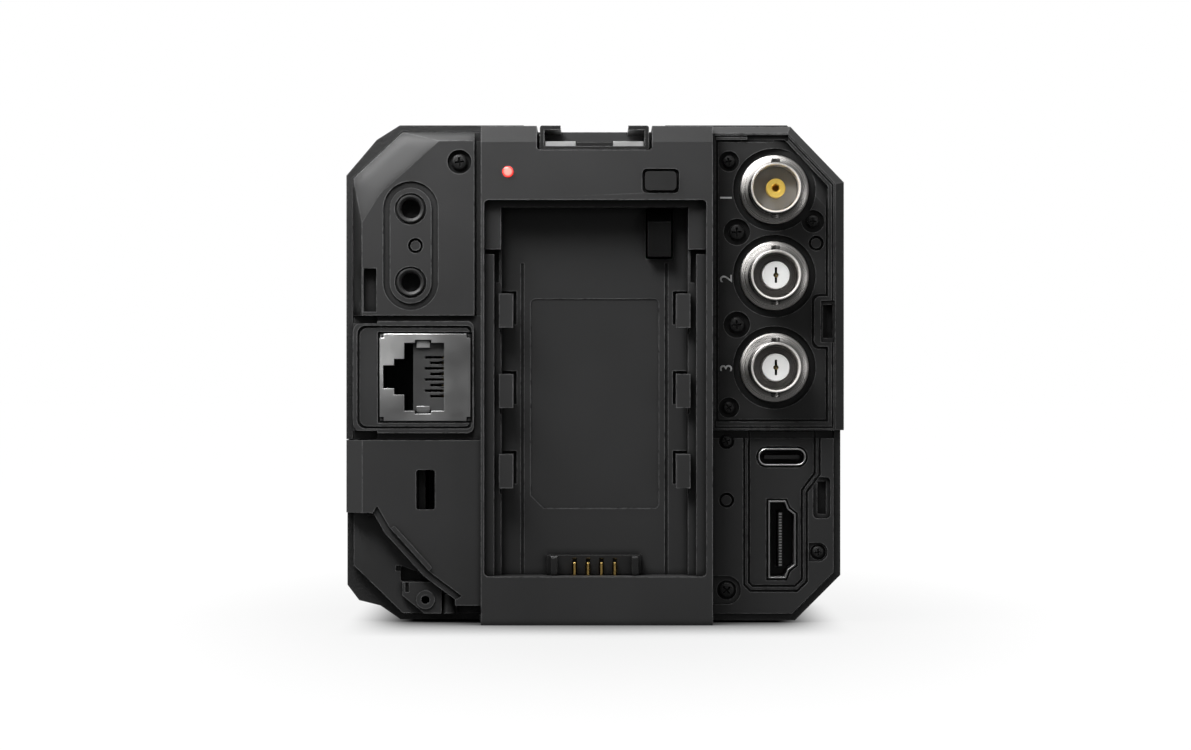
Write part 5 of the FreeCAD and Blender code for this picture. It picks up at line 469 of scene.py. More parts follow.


# Plated metal turned about an axis along Y: fine rings, a stretched gloss, a tone for each radius that can
# paint shade and highlight in rings
def makeTurned(name, look, place):
    material, tree, shader = startMaterial(name)
    spot = addNode(tree, "ShaderNodeTexCoord")
    flat = addNode(tree, "ShaderNodeVectorMath", operation="MULTIPLY")
    flat.inputs[1].default_value = (1, 0, 1)
    away = addNode(tree, "ShaderNodeVectorMath", operation="DISTANCE")
    away.inputs[1].default_value = (place[0] * mm, 0, place[1] * mm)
    rings = addNode(tree, "ShaderNodeTexNoise", noise_dimensions="1D")
    rings.inputs["Scale"].default_value = look["ringScale"]
    rings.inputs["Detail"].default_value = 3.0
    grain = useGroup(tree, grainGroup, Grain_Scale=look["ringScale"], Patch_Scale=look["patchScale"])
    link(tree, spot.outputs["Object"], flat.inputs[0])
    link(tree, flat.outputs["Vector"], away.inputs[0])
    link(tree, away.outputs["Value"], rings.inputs["W"])
    share = mapRange(tree, away.outputs["Value"], 0, look["outer"] * mm, 0, 1)
    tones = addNode(tree, "ShaderNodeValToRGB")
    stops = tones.color_ramp.elements
    while len(stops) < len(look["tones"]):
        stops.new(0.5)
    for stop, (radius, tone) in zip(stops, look["tones"]):
        stop.position = radius / look["outer"]
        stop.color = (tone, tone, tone, 1)
    link(tree, share, tones.inputs[0])
    toned = addNode(tree, "ShaderNodeVectorMath", operation="MULTIPLY")
    link(tree, patchTone(tree, grain, look), toned.inputs[0])
    link(tree, tones.outputs["Color"], toned.inputs[1])
    link(tree, toned.outputs["Vector"], shader.inputs["Base Color"])
    link(tree, spreadRough(tree, rings.outputs["Fac"], look), shader.inputs["Roughness"])
    addBump(tree, shader, rings.outputs["Fac"], look["bump"], look["depth"])
    shader.inputs["Metallic"].default_value = 1.0
    if "lip" in look:
        # painted sheen: the lip is made less metallic so that it shows a soft white
        lipLow, lipHigh = look["lip"]
        fade = look["lipFade"]
        inner = mapRange(tree, away.outputs["Value"], (lipLow - fade) * mm, lipLow * mm, 0, 1)
        outer = mapRange(tree, away.outputs["Value"], lipHigh * mm, (lipHigh + fade) * mm, 1, 0)
        paintedSheen = addNode(tree, "ShaderNodeMath", operation="MULTIPLY")
        link(tree, inner, paintedSheen.inputs[0])
        link(tree, outer, paintedSheen.inputs[1])
        link(tree, mapRange(tree, paintedSheen.outputs[0], 0, 1, 1, look["lipMetal"]), shader.inputs["Metallic"])
    if "stretched" in look:
        shader.inputs["Anisotropic"].default_value = look["stretched"]
        around = addNode(tree, "ShaderNodeTangent", direction_type="RADIAL", axis="Y")
        link(tree, around.outputs[0], shader.inputs["Tangent"])
    return material


# Stamped sheet with a painted reflection, bright at one corner and darker away from it, and painted shade in
# its seams
def makeShieldSheet(name, look):
    material, tree, shader = startMaterial(name)
    spot = addNode(tree, "ShaderNodeTexCoord")
    away = addNode(tree, "ShaderNodeVectorMath", operation="DISTANCE")
    away.inputs[1].default_value = [value * mm for value in look["paintedReflectionCorner"]]
    grain = useGroup(tree, grainGroup, Grain_Scale=look["grainScale"], Patch_Scale=look["patchScale"])
    seam = useGroup(tree, seamGroup, Reach=look["seamReach"])
    link(tree, spot.outputs["Object"], away.inputs[0])
    bright, dull = [reach * mm for reach in look["paintedReflectionFade"]]
    paintedReflectionFade = mapRange(tree, away.outputs["Value"], bright, dull, 0, 1, True)
    sheet = mixColour(tree, paintedReflectionFade, look["pale"], look["dark"])
    link(tree, mixColour(tree, seam.outputs["Mask"], sheet, look["shade"]), shader.inputs["Base Color"])
    link(tree, spreadRough(tree, grain.outputs["Patches"], look), shader.inputs["Roughness"])
    addBump(tree, shader, grain.outputs["Height"], look["bump"], look["depth"])
    shader.inputs["Metallic"].default_value = 1.0
    return material


nickel = {
    "dark": (0.5, 0.49, 0.475), "pale": (0.66, 0.65, 0.635), "stretch": (1.0, 12.0, 1.0), "brushScale": 900.0,
    "patchScale": 400.0, "roughLow": 0.2, "roughHigh": 0.32, "bump": 0.2}
# tones: radius in mm, share of the plate's colour there; they paint shade in the bore and round the barrel's
# root, and paint highlight on the lip and the flange's rim
turnedNickel = {
    "dark": (0.84, 0.81, 0.78), "pale": (1.0, 0.97, 0.94), "ringScale": 3000.0, "patchScale": 60.0,
    "outer": 6.6,
    "tones": [(0.0, 0.24), (3.9, 0.3), (4.12, 0.5), (4.2, 0.9), (4.5, 0.8), (4.62, 0.3),
              (4.8, 0.08), (5.1, 0.2), (5.6, 0.36), (6.35, 0.42), (6.5, 0.8)],
    "lip": (4.2, 4.5), "lipFade": 0.1, "lipMetal": 0.45, "roughLow": 0.24, "roughHigh": 0.34, "bump": 0.01,
    "depth": 0.00001, "stretched": 0.85}
# painted reflection from pale at one corner to dark, painted shade colour in the seams
shieldSheet = {
    "dark": (0.38, 0.38, 0.38), "pale": (1.0, 1.0, 0.99), "shade": (0.02, 0.02, 0.02),
    "paintedReflectionCorner": (-41.5, -31.2, 53.5), "paintedReflectionFade": (4.5, 15.0), "grainScale": 5200.0,
    "patchScale": 180.0, "seamReach": 0.001, "roughLow": 0.3, "roughHigh": 0.4, "bump": 0.2, "depth": 0.00001}
tinSheet = {
    "dark": (0.5, 0.5, 0.495), "pale": (0.64, 0.64, 0.63), "stretch": (1.0, 1.0, 4.0), "brushScale": 2400.0,
    "patchScale": 250.0, "roughLow": 0.26, "roughHigh": 0.36, "bump": 0.15}
dullSheet = dict(tinSheet, dark=(0.2, 0.2, 0.2), pale=(0.32, 0.32, 0.32), roughLow=0.35, roughHigh=0.5)
goldPlate = {
    "dark": (0.72, 0.47, 0.13), "pale": (0.9, 0.64, 0.24), "stretch": (1.0, 4.0, 1.0), "brushScale": 1500.0,
    "patchScale": 600.0, "roughLow": 0.22, "roughHigh": 0.34, "bump": 0.15}
# painted shade: a darkened copy of the gold plate for contacts that sit in shade
shadedGold = dict(goldPlate, dark=(0.1, 0.065, 0.018), pale=(0.14, 0.1, 0.035))
springSheet = {
    "dark": (0.7, 0.7, 0.7), "pale": (0.85, 0.85, 0.85), "stretch": (1.0, 4.0, 1.0), "brushScale": 1500.0,
    "patchScale": 60.0, "roughLow": 0.34, "roughHigh": 0.4, "bump": 0.02}
goldRing = {"grainScale": 3000.0, "patchScale": 300.0, "dark": (0.75, 0.5, 0.08), "pale": (0.85, 0.6, 0.14),
            "roughLow": 0.3, "roughHigh": 0.4, "metal": 0.35}
brightSteel = {
    "dark": (0.5, 0.5, 0.5), "pale": (0.56, 0.56, 0.56), "stretch": (1.0, 6.0, 1.0), "brushScale": 900.0,
    "patchScale": 150.0, "roughLow": 0.28, "roughHigh": 0.32, "bump": 0.03}
mountSteel = {
    "dark": (0.78, 0.78, 0.78), "pale": (0.86, 0.86, 0.86), "ringScale": 2500.0, "patchScale": 60.0,
    "outer": 32.0, "tones": [(0.0, 0.5), (22.0, 0.55), (26.0, 0.75), (32.0, 0.8)],
    "roughLow": 0.26, "roughHigh": 0.34, "bump": 0.01, "depth": 0.00001}
milledAluminium = {
    "dark": (0.6, 0.6, 0.61), "pale": (0.75, 0.75, 0.76), "stretch": (6.0, 1.0, 1.0), "brushScale": 600.0,
    "patchScale": 120.0, "roughLow": 0.3, "roughHigh": 0.45, "bump": 0.3}


mouldBump = 0.2
mouldDepth = 0.00003


# Plain mouldings with two tones and a soft gloss
def makePlain(name, look):
    material, tree, shader = startMaterial(name)
    grain = useGroup(tree, grainGroup, Grain_Scale=look["grainScale"], Patch_Scale=look["patchScale"])
    link(tree, patchTone(tree, grain, look), shader.inputs["Base Color"])
    link(tree, spreadRough(tree, grain.outputs["Patches"], look), shader.inputs["Roughness"])
    addBump(tree, shader, grain.outputs["Height"], mouldBump, mouldDepth)
    shader.inputs["Metallic"].default_value = look.get("metal", 0.0)
    return material, tree, shader


whiteInsulator = {
    "grainScale": 3000.0, "patchScale": 500.0,
    "dark": (0.72, 0.72, 0.71), "pale": (0.84, 0.84, 0.83), "roughLow": 0.35, "roughHigh": 0.5}
combGrey = {
    "grainScale": 3000.0, "patchScale": 200.0,
    "dark": (0.032, 0.032, 0.032), "pale": (0.05, 0.05, 0.05), "roughLow": 0.4, "roughHigh": 0.55}
greyInsulator = {
    "grainScale": 3000.0, "patchScale": 200.0,
    "dark": (0.26, 0.26, 0.255), "pale": (0.34, 0.34, 0.335), "roughLow": 0.4, "roughHigh": 0.55}
printedInk = {
    "grainScale": 2500.0, "patchScale": 400.0,
    "dark": (0.55, 0.55, 0.55), "pale": (0.7, 0.7, 0.7), "roughLow": 0.5, "roughHigh": 0.6}
boardMask = {
    "grainScale": 900.0, "patchScale": 250.0,
    "dark": (0.008, 0.06, 0.03), "pale": (0.015, 0.1, 0.05), "roughLow": 0.25, "roughHigh": 0.4}
ceramic = {
    "grainScale": 2500.0, "patchScale": 200.0,
    "dark": (0.24, 0.22, 0.2), "pale": (0.32, 0.3, 0.27), "roughLow": 0.5, "roughHigh": 0.65}
sensorFilm = {
    "grainScale": 5000.0, "patchScale": 90.0,
    "dark": (0.02, 0.05, 0.045), "pale": (0.05, 0.035, 0.07), "roughLow": 0.06, "roughHigh": 0.12}
lampRed = {
    "grainScale": 2000.0, "patchScale": 900.0,
    "dark": (0.6, 0.02, 0.015), "pale": (0.8, 0.05, 0.04), "roughLow": 0.15, "roughHigh": 0.25,
    "core": (1.0, 0.42, 0.36), "rim": (0.9, 0.02, 0.015), "coreShare": 0.5, "glow": 1.1}
lampDark = {
    "grainScale": 2000.0, "patchScale": 900.0,
    "dark": (0.09, 0.008, 0.006), "pale": (0.14, 0.012, 0.01), "roughLow": 0.12, "roughHigh": 0.2}


# A lit lamp: pale in the middle of its dome, red at the rim
def makeLampGlow(name, look, place, reach):
    material, tree, shader = makePlain(name, look)
    spot = addNode(tree, "ShaderNodeTexCoord")
    away = addNode(tree, "ShaderNodeVectorMath", operation="DISTANCE")
    away.inputs[1].default_value = [value * mm for value in place]
    link(tree, spot.outputs["Object"], away.inputs[0])
    rim = mapRange(tree, away.outputs["Value"], reach * look["coreShare"] * mm, reach * mm, 0, 1, True)
    link(tree, mixColour(tree, rim, look["core"], look["rim"]), shader.inputs["Emission Color"])
    shader.inputs["Emission Strength"].default_value = look["glow"]
    return material


coatedGlass = {
    "grainScale": 4000.0, "patchScale": 80.0, "dark": (0.9, 0.97, 0.95), "pale": (0.97, 0.95, 1.0),
    "roughLow": 0.01, "roughHigh": 0.03, "bends": 1.5}


def makeGlass(name):
    material, tree, shader = startMaterial(name)
    look = coatedGlass
    grain = useGroup(tree, grainGroup, Grain_Scale=look["grainScale"], Patch_Scale=look["patchScale"])
    link(tree, patchTone(tree, grain, look), shader.inputs["Base Color"])
    link(tree, spreadRough(tree, grain.outputs["Patches"], look), shader.inputs["Roughness"])
    shader.inputs["Transmission Weight"].default_value = 1.0
    shader.inputs["IOR"].default_value = look["bends"]
    return material


lamp = {"radius": 1.0, "face": -39.1, "dome": 0.3, "long": 3.0, "steps": 8, "turnSteps": 40}
lampPlace = (-16.2, -39.2, 83.9)
buttonPlastic = dict(smoothPlastic, dark=(0.014, 0.014, 0.014), pale=(0.02, 0.02, 0.02))
# the shoe: brighter painted highlight on its edges, wider painted shade in its seams
shoePaint = dict(
    blackOxide, dark=(0.006, 0.006, 0.006), pale=(0.011, 0.011, 0.011), edge=(0.25, 0.25, 0.25),
    edgeReach=0.0002, seamReach=0.0016)
finishes = {
    "casing": makeBlack("crinklePaint", crinklePaint),
    "housing_plastic": makeBlack("housingPlastic", housingPlastic),
    "panel_plastic": makeBlack("panelPlastic", mouldedPlastic),
    "door_plastic": makeBlack("doorPlastic", dict(mouldedPlastic, grainScale=4800.0)),
    "black_plastic": makeBlack("smoothPlastic", smoothPlastic),
    "button_plastic": makeBlack("buttonPlastic", buttonPlastic),
    "red_plastic": makeBlack("redPlastic", redPlastic),
    "coaxial_nickel": makeMetal("nickelPlate", nickel),
    "socket_white": makePlain("whiteInsulator", whiteInsulator)[0],
    "contact_gold": makeMetal("goldPlate", goldPlate),
    "shield_tin": makeMetal("tinSheet", tinSheet),
    "screw_black": makeBlack("blackOxide", blackOxide),
    "mount_steel": makeMetal("brightSteel", brightSteel),
    "shoe_black": makeBlack("shoePaint", shoePaint),
    "spring_steel": makeMetal("springSteel", springSheet),
    "lamp_red": makeLampGlow("litLamp", lampRed, lampPlace, lamp["radius"]),
    "board_green": makePlain("solderMask", boardMask)[0],
    "fin_aluminium": makeMetal("milledAluminium", milledAluminium),
    "sensor_ceramic": makePlain("sensorCeramic", ceramic)[0],
    "sensor_face": makePlain("sensorFilm", sensorFilm)[0],
    "sensor_glass": makeGlass("sensorGlass"),
}
darkSheet = makeMetal("dullSheet", dullSheet)
networkSheet = makeShieldSheet("networkSheet", shieldSheet)
greyMoulding = makePlain("greyInsulator", greyInsulator)[0]
darkMoulding = makePlain("combGrey", combGrey)[0]
ink = makePlain("printedInk", printedInk)[0]
darkLamp = makePlain("darkLamp", lampDark)[0]
ringGold = makePlain("ringGold", goldRing)[0]
# wider painted shade down in the jacks
jackPlastic = makeBlack("jackPlastic", dict(smoothPlastic, seamReach=0.004, roughLow=0.44, roughHigh=0.52))
shadedContacts = makeMetal("shadedGold", shadedGold)
# the audio panel: smoothed slopes, with painted shade on those that face the left
softSlopes = makeBlack("slopedPanel", dict(mouldedPlastic, rounding=0.004, leftPaintedShade=(0.004, 0.004, 0.004)))
# near-black plastic that also stands as painted shade for parts deep in slots and recesses
deepBlackAndShade = makeBlack("deepBlackAndShade", dict(
    smoothPlastic, dark=(0.003, 0.003, 0.003), pale=(0.005, 0.005, 0.005), edge=(0.02, 0.02, 0.02),
    specular=0.2))
dimPlastic = makeBlack("dimPlastic", dict(
    mouldedPlastic, dark=(0.015, 0.015, 0.015), pale=(0.02, 0.02, 0.02)))
print("finishes ready:", len(finishes))

# The carried-over pieces: finish and softened edges

edgeWidths = {"main_shell": 0.3, "battery_housing": 0.22, "card_door": 0.22, "lower_left_bezel": 0.2}
softening = {"width": 0.12, "segments": 2, "weld": 0.002, "angle": 32}
plainEdges = {"network_contacts", "lens_contact_pins", "board_standoffs", "heat_sink", "main_board",
              "connector_board", "switch_board", "sensor_cover_glass", "image_sensor", "front_cover"}
ringLow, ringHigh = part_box("lens_mount_ring")
lensAxis = [(ringLow[side] + ringHigh[side]) / 2 / mm for side in (0, 2)]
# the card slot unit, the network insert and the battery latch take near-black, partly as painted shade
ownFinish = {
    "lens_mount_ring": makeTurned("turnedSteel", mountSteel, lensAxis),
    "front_tally_lamp": darkLamp, "card_slot_unit": deepBlackAndShade, "network_insert": deepBlackAndShade,
    "network_contacts": shadedContacts, "audio_panel": softSlopes, "battery_latch": deepBlackAndShade,
    "top_plate": finishes["housing_plastic"],
    "video_panel": dimPlastic, "monitor_socket_shell": darkSheet,
}
slotOf = {part["node"]: part["material_slot"] for part in frame["record"]["subparts"]}


def softenEdges(piece, width):
    weld = piece.modifiers.new("weld", "WELD")
    weld.merge_threshold = softening["weld"] * mm
    bevel = piece.modifiers.new("edges", "BEVEL")
    bevel.width = width * mm
    bevel.segments = softening["segments"]
    bevel.limit_method = "ANGLE"
    bevel.angle_limit = math.radians(softening["angle"])
    bevel.use_clamp_overlap = True
    bevel.harden_normals = False
    normals = piece.modifiers.new("normals", "WEIGHTED_NORMAL")
    normals.keep_sharp = True


for name, piece in frame["nodes"].items():
    material = ownFinish.get(name, finishes[slotOf[name]])
    for slot in piece.material_slots:
        slot.material = material
    if not piece.material_slots:
        piece.data.materials.append(material)
    if name not in plainEdges:
        softenEdges(piece, edgeWidths.get(name, softening["width"]))
print("carried-over pieces dressed")

# Building blocks of the added pieces, in millimetres until the mesh is kept


onAxis = 0.01        # radius that closes a turned profile
joinWithin = 0.0005
sharpAngle = 30


def keepPiece(name, bm, material, stands=(), body="root"):
    bmesh.ops.remove_doubles(bm, verts=bm.verts, dist=joinWithin)
    bmesh.ops.recalc_face_normals(bm, faces=bm.faces)
    bmesh.ops.scale(bm, vec=(mm, mm, mm), verts=bm.verts)
    mesh = bpy.data.meshes.new(name)
    bm.to_mesh(mesh)
    bm.free()
    for polygon in mesh.polygons:
        polygon.use_smooth = True
    mesh.set_sharp_from_angle(angle=math.radians(sharpAngle))
    mesh.materials.append(material)
    piece = bpy.data.objects.new(name, mesh)
    bpy.context.scene.collection.objects.link(piece)
    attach(piece, body)
    if stands:
        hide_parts(*stands)
    return piece


# Turns a profile of (radius, y) points about an axis along Y through (x, z)
def addTurned(bm, place, profile, steps=64):
    x, z = place
    verts = [bm.verts.new((x + radius, y, z)) for radius, y in profile]
    edges = [bm.edges.new(pair) for pair in zip(verts, verts[1:])]
    bmesh.ops.spin(bm, geom=verts + edges, cent=(x, 0, z), axis=(0, 1, 0), angle=2 * math.pi,
                   steps=steps, use_merge=True, use_duplicate=False)


# Points of a turned edge: each step goes out from a radius and in behind a face
def edgePoints(radius, face, steps):
    return [(radius + out, face + behind) for out, behind in steps]


def addBox(bm, x, y, z):
    centre = Vector([(low + high) / 2 for low, high in (x, y, z)])
    size = [high - low for low, high in (x, y, z)]
    place = Matrix.Translation(centre) @ Matrix.Diagonal((*size, 1))
    bmesh.ops.create_cube(bm, size=1, matrix=place)


# A flat plate between two depths; the first outline is its edge, the others are holes
def addPlate(bm, outlines, near, far):
    edges = []
    for outline in outlines:
        verts = [bm.verts.new((x, near, z)) for x, z in outline]
        edges += [bm.edges.new((verts[index - 1], verts[index])) for index in range(len(verts))]
    filled = bmesh.ops.triangle_fill(bm, use_beauty=True, edges=edges)["geom"]
    faces = [item for item in filled if isinstance(item, bmesh.types.BMFace)]
    pushed = bmesh.ops.extrude_face_region(bm, geom=faces)["geom"]
    moved = [item for item in pushed if isinstance(item, bmesh.types.BMVert)]
    bmesh.ops.translate(bm, verts=moved, vec=(0, far - near, 0))


def blockOutline(x, z):
    return [(x[0], z[0]), (x[1], z[0]), (x[1], z[1]), (x[0], z[1])]


# Loops of as many points each, joined into walls and closed at both ends
def addLoops(bm, loops):
    rings = [[bm.verts.new(point) for point in loop] for loop in loops]
    for near, far in zip(rings, rings[1:]):
        for index in range(len(near)):
            bm.faces.new((near[index - 1], near[index], far[index], far[index - 1]))
    bm.faces.new(rings[0])
    bm.faces.new(rings[-1])


# Coaxial sockets: turned shell with two bayonet lugs, insulator and contact

coaxial = {
    "x": 33.4, "heights": {"Top": 80.9, "Middle": 64.8, "Low": 47.7},
    "wellFloor": -30.0, "flangeFace": -31.3, "rear": -39.5, "floor": -31.0, "back": -11.0,
    "flange": 6.5, "barrel": 4.8, "inside": 4.2, "body": 5.6, "lug": 0.85, "lugReach": 5.5, "lugY": -36.5,
    "lugTip": 0.12, "lugSunk": 0.3, "steps": 96, "lugSteps": 28,
    "insulator": 2.54, "insulatorSunk": 1.2, "slotWide": 0.46, "slotTall": 2.9, "slotDeep": 3.0,
    "slotBore": 0.5, "slotFrom": 0.42, "sleeve": 1.78, "contactSunk": 1.6, "contactLong": 2.0,
    "hole": 0.2, "holeDeep": 0.6, "pin": 0.4, "pinRound": 0.05, "clipY": (0.4, 0.9),
    "insulatorGap": 0.1, "discTall": 3.0, "discRound": 0.2, "clearance": 0.02,
    # steps out from a radius and in behind a face
    "floorEdge": [(-0.15, 0.0), (0.0, -0.15)],
    "lipInside": [(0.0, 0.5), (0.12, 0.12), (0.22, 0.02)],
    "lipOutside": [(-0.24, 0.0), (-0.06, 0.1), (0.0, 0.3)],
    "groove": [(0.0, -2.4), (-0.25, -2.2), (-0.25, -0.5), (-0.05, -0.3), (0.12, -0.22)],
    "flangeEdge": [(-0.55, 0.0), (-0.12, 0.16), (0.0, 0.42)],
    "insulatorEdge": [(0.0, 0.15), (-0.12, 0.0)],
    "sleeveEdge": [(-0.14, 0.0), (0.0, 0.16)],
    # the top contact's blind bore: radius, depth
    "topBore": [(onAxis, 4.6), (0.55, 4.5), (0.62, 0.5), (0.8, 0.12), (0.92, 0.0)],
}


def coaxialProfile():
    c = coaxial
    return [
        (onAxis, c["floor"]),
        *edgePoints(c["inside"], c["floor"], c["floorEdge"]),
        *edgePoints(c["inside"], c["rear"], c["lipInside"]),
        *edgePoints(c["barrel"], c["rear"], c["lipOutside"]),
        *edgePoints(c["barrel"], c["flangeFace"], c["groove"]),
        *edgePoints(c["flange"], c["flangeFace"], c["flangeEdge"]),
        (c["flange"], c["wellFloor"]), (c["body"], c["wellFloor"]), (c["body"], c["back"]),
        (onAxis, c["back"])]


def makeCoaxialShell(name, height):
    c = coaxial
    bm = bmesh.new()
    addTurned(bm, (c["x"], height), coaxialProfile(), steps=c["steps"])
    shoulder = c["lugReach"] - c["lugTip"]
    for side in (-1, 1):
        for near, far, radius in ((c["barrel"] - c["lugSunk"], shoulder, c["lug"]),
                                  (shoulder, c["lugReach"], c["lug"] - c["lugTip"])):
            centre = (c["x"], c["lugY"], height + side * (near + far) / 2)
            bmesh.ops.create_cone(bm, cap_ends=True, segments=c["lugSteps"], radius1=radius, radius2=radius,
                                  depth=far - near, matrix=Matrix.Translation(centre))
    plated = makeTurned("turnedNickel" + name, turnedNickel, (c["x"], height))
    return keepPiece("coaxialShell" + name, bm, plated, ["coaxial_shells"])


def ringPoints(x, y, z, radius, count):
    return [(x + radius * math.cos(2 * math.pi * (index + 0.5) / count), y,
             z + radius * math.sin(2 * math.pi * (index + 0.5) / count)) for index in range(count)]


# A slot with a round widening in its middle, as points that match a circle's
def slotPoints(x, y, z, wide, tall, bore, count):
    points = []
    for index in range(count):
        angle = 2 * math.pi * (index + 0.5) / count
        across, upward = abs(math.cos(angle)), abs(math.sin(angle))
        reach = max(min(wide / 2 / across, tall / 2 / upward), bore)
        points.append((x + reach * math.cos(angle), y, z + reach * math.sin(angle)))
    return points


def makeInsulator(name, height):
    c = coaxial
    count = c["steps"]
    face = c["rear"] + c["insulatorSunk"]
    bm = bmesh.new()
    profile = [(c["insulator"], c["floor"] - c["insulatorGap"])]
    profile += edgePoints(c["insulator"], face, c["insulatorEdge"])
    outer = [ringPoints(c["x"], y, height, radius, count) for radius, y in profile]
    slot = [slotPoints(c["x"], y, height, c["slotWide"], c["slotTall"], c["slotBore"], count)
            for y in (face, face + c["slotDeep"])]
    addLoops(bm, outer + slot)
    return keepPiece("coaxialInsulator" + name, bm, finishes["socket_white"], ["coaxial_insulators"])


def makeSlotContact(name, height):
    c = coaxial
    face = c["rear"] + c["contactSunk"]
    hole, pin = c["hole"], c["pin"]
    bm = bmesh.new()
    addTurned(bm, (c["x"], height), [
        (hole, face + c["holeDeep"]), (hole, face), ((hole + pin) / 2, face - c["pinRound"]),
        (pin, face + c["pinRound"]), (pin, face + c["contactLong"])])
    clip = bmesh.new()
    half = (c["slotWide"] - c["clearance"]) / 2
    tall = (c["slotTall"] - c["clearance"]) / 2
    depth = [face + behind for behind in c["clipY"]]
    for low, high in ((-tall, -c["slotFrom"]), (c["slotFrom"], tall)):
        addBox(clip, (c["x"] - half, c["x"] + half), depth, (height + low, height + high))
    # the clips are near-black: partly real clips, partly painted shade in the slots
    keepPiece("coaxialClipAndShade" + name, clip, deepBlackAndShade)
    return keepPiece("coaxialContact" + name, bm, shadedContacts, ["coaxial_contacts"])


def makeTopContact():
    c = coaxial
    rear = c["rear"] + c["contactSunk"]
    bm = bmesh.new()
    addTurned(bm, (c["x"], c["heights"]["Top"]), [
        *edgePoints(0, rear, c["topBore"]), *edgePoints(c["sleeve"], rear, c["sleeveEdge"]),
        (c["sleeve"], c["floor"])])
    keepPiece("coaxialSleeveTop", bm, ringGold, ["coaxial_contacts"])
    disc = bmesh.new()
    floor = c["floor"] - c["discTall"]
    hole = c["sleeve"] + c["clearance"]
    edge = c["inside"] - c["clearance"]
    addTurned(disc, (c["x"], c["heights"]["Top"]), [
        (hole, c["floor"]), (hole, floor), (c["inside"] - c["discRound"], floor),
        (edge, floor + c["discRound"]), (edge, c["floor"])])
    keepPiece("coaxialInsulatorTop", disc, greyMoulding, ["coaxial_insulators"])


for name, height in coaxial["heights"].items():
    makeCoaxialShell(name, height)
    if name != "Top":
        makeInsulator(name, height)
        makeSlotContact(name, height)
makeTopContact()
print("coaxial sockets ready")

# Cross-recess screws with domed heads

# spots: x, z, face and the turn of the recess in degrees
screws = {
    "small": {
        "radius": 1.15,
        "spots": [(24.9, 86.2, -30.8, 12), (24.9, 40.2, -30.8, 38), (40.6, 75.0, -31.0, 4),
                  (24.5, 33.9, -30.1, 25), (41.6, 13.2, -30.1, 2)]},
    "large": {
        "radius": 1.5,
        "spots": [(-25.4, 86.1, -31.2, 8), (26.4, 73.0, -30.8, 3), (26.4, 55.7, -30.8, 5),
                  (24.5, 6.1, -30.1, 41)]},
    "cross": 0.6, "slim": 0.26, "shank": 0.9, "long": 4.2, "head": 1.0, "arcSteps": 9,
    # share of the head's radius or the cross's reach, depth behind the face
    "dome": [(1.0, 0.3), (0.95, 0.14), (0.85, 0.02), (0.72, -0.05)],
    "recess": [(1.0, -0.08), (0.96, 0.02), (0.72, 0.6)],
}


tiny = 1e-6      # keeps a division clear of nought


# A plus sign as points at a circle's angles
def crossPoints(x, y, z, reach, half, turn, angles):
    points = []
    for angle in angles:
        across, upward = max(abs(math.cos(angle)), tiny), max(abs(math.sin(angle)), tiny)
        flat = min(reach / across, half / upward)
        steep = min(half / across, reach / upward)
        radius = max(flat, steep)
        points.append((x + radius * math.cos(angle + turn), y, z + radius * math.sin(angle + turn)))
    return points


# The cross's own corners, and even steps between them
def crossAngles(tip):
    steps = screws["arcSteps"]
    angles = set()
    for quarter in range(4):
        start = quarter * math.pi / 2
        angles.update((start - tip, start, start + tip, start + math.pi / 4))
        angles.update(start + tip + (math.pi / 2 - 2 * tip) * part / steps for part in range(1, steps))
    return sorted({round(angle % (2 * math.pi), 6) for angle in angles})


def addScrew(bm, spot, radius):
    x, z, face, degrees = spot
    turn = math.radians(degrees)
    reach = radius * screws["cross"]
    half = radius * screws["slim"] / 2
    tip = math.atan2(half, reach)
    angles = crossAngles(tip)
    head = face + screws["head"]
    rounds = [(screws["shank"], face + screws["long"]), (screws["shank"], head), (radius, head)]
    rounds += [(radius * share, face + depth) for share, depth in screws["dome"]]
    loops = []
    for r, y in rounds:
        loops.append([
            (x + r * math.cos(angle + turn), y, z + r * math.sin(angle + turn)) for angle in angles])
    for share, depth in screws["recess"]:
        loops.append(crossPoints(x, face + depth, z, reach * share, half * share, turn, angles))
    addLoops(bm, loops)


for kind in ("small", "large"):
    bm = bmesh.new()
    for spot in screws[kind]["spots"]:
        addScrew(bm, spot, screws[kind]["radius"])
    keepPiece(kind + "PanelScrews", bm, finishes["screw_black"], [kind + "_panel_screws"])
print("screws ready")

# Network socket: stamped shield with notched corners, spring tabs and a comb over the contacts

network = {
    "x": (-40.3, -23.3), "z": (37.7, 54.0), "face": -31.2, "sheet": 0.5, "back": -11.0, "notch": 0.75,
    "mouthX": (-35.7, -28.3), "mouthZ": (39.6, 52.3), "earX": (-33.7, -30.7), "ear": 0.55,
    "stepX": -37.6, "stepHalf": 3.35, "endX": -39.65, "endHalf": 2.15,
    "combX": (-34.1, -28.2), "combFace": -29.9, "combDeep": 2.5, "slots": 8, "pitch": 1.04, "slotTall": 0.48,
    "longSlot": 3.6, "shortSlot": 2.6, "slotInset": 0.1, "combClear": 0.05,
    "tabInset": 0.25, "tabY": (0.7, 1.1), "tabLap": 0.9, "tabClear": 0.1, "sheetEdge": 0.07, "combEdge": 0.06,
}


def shieldOutline():
    n = network
    (x0, x1), (z0, z1), k = n["x"], n["z"], n["notch"]
    return [(x0 + k, z0), (x1 - k, z0), (x1 - k, z0 + k), (x1, z0 + k), (x1, z1 - k), (x1 - k, z1 - k),
            (x1 - k, z1), (x0 + k, z1), (x0 + k, z1 - k), (x0, z1 - k), (x0, z0 + k), (x0 + k, z0 + k)]


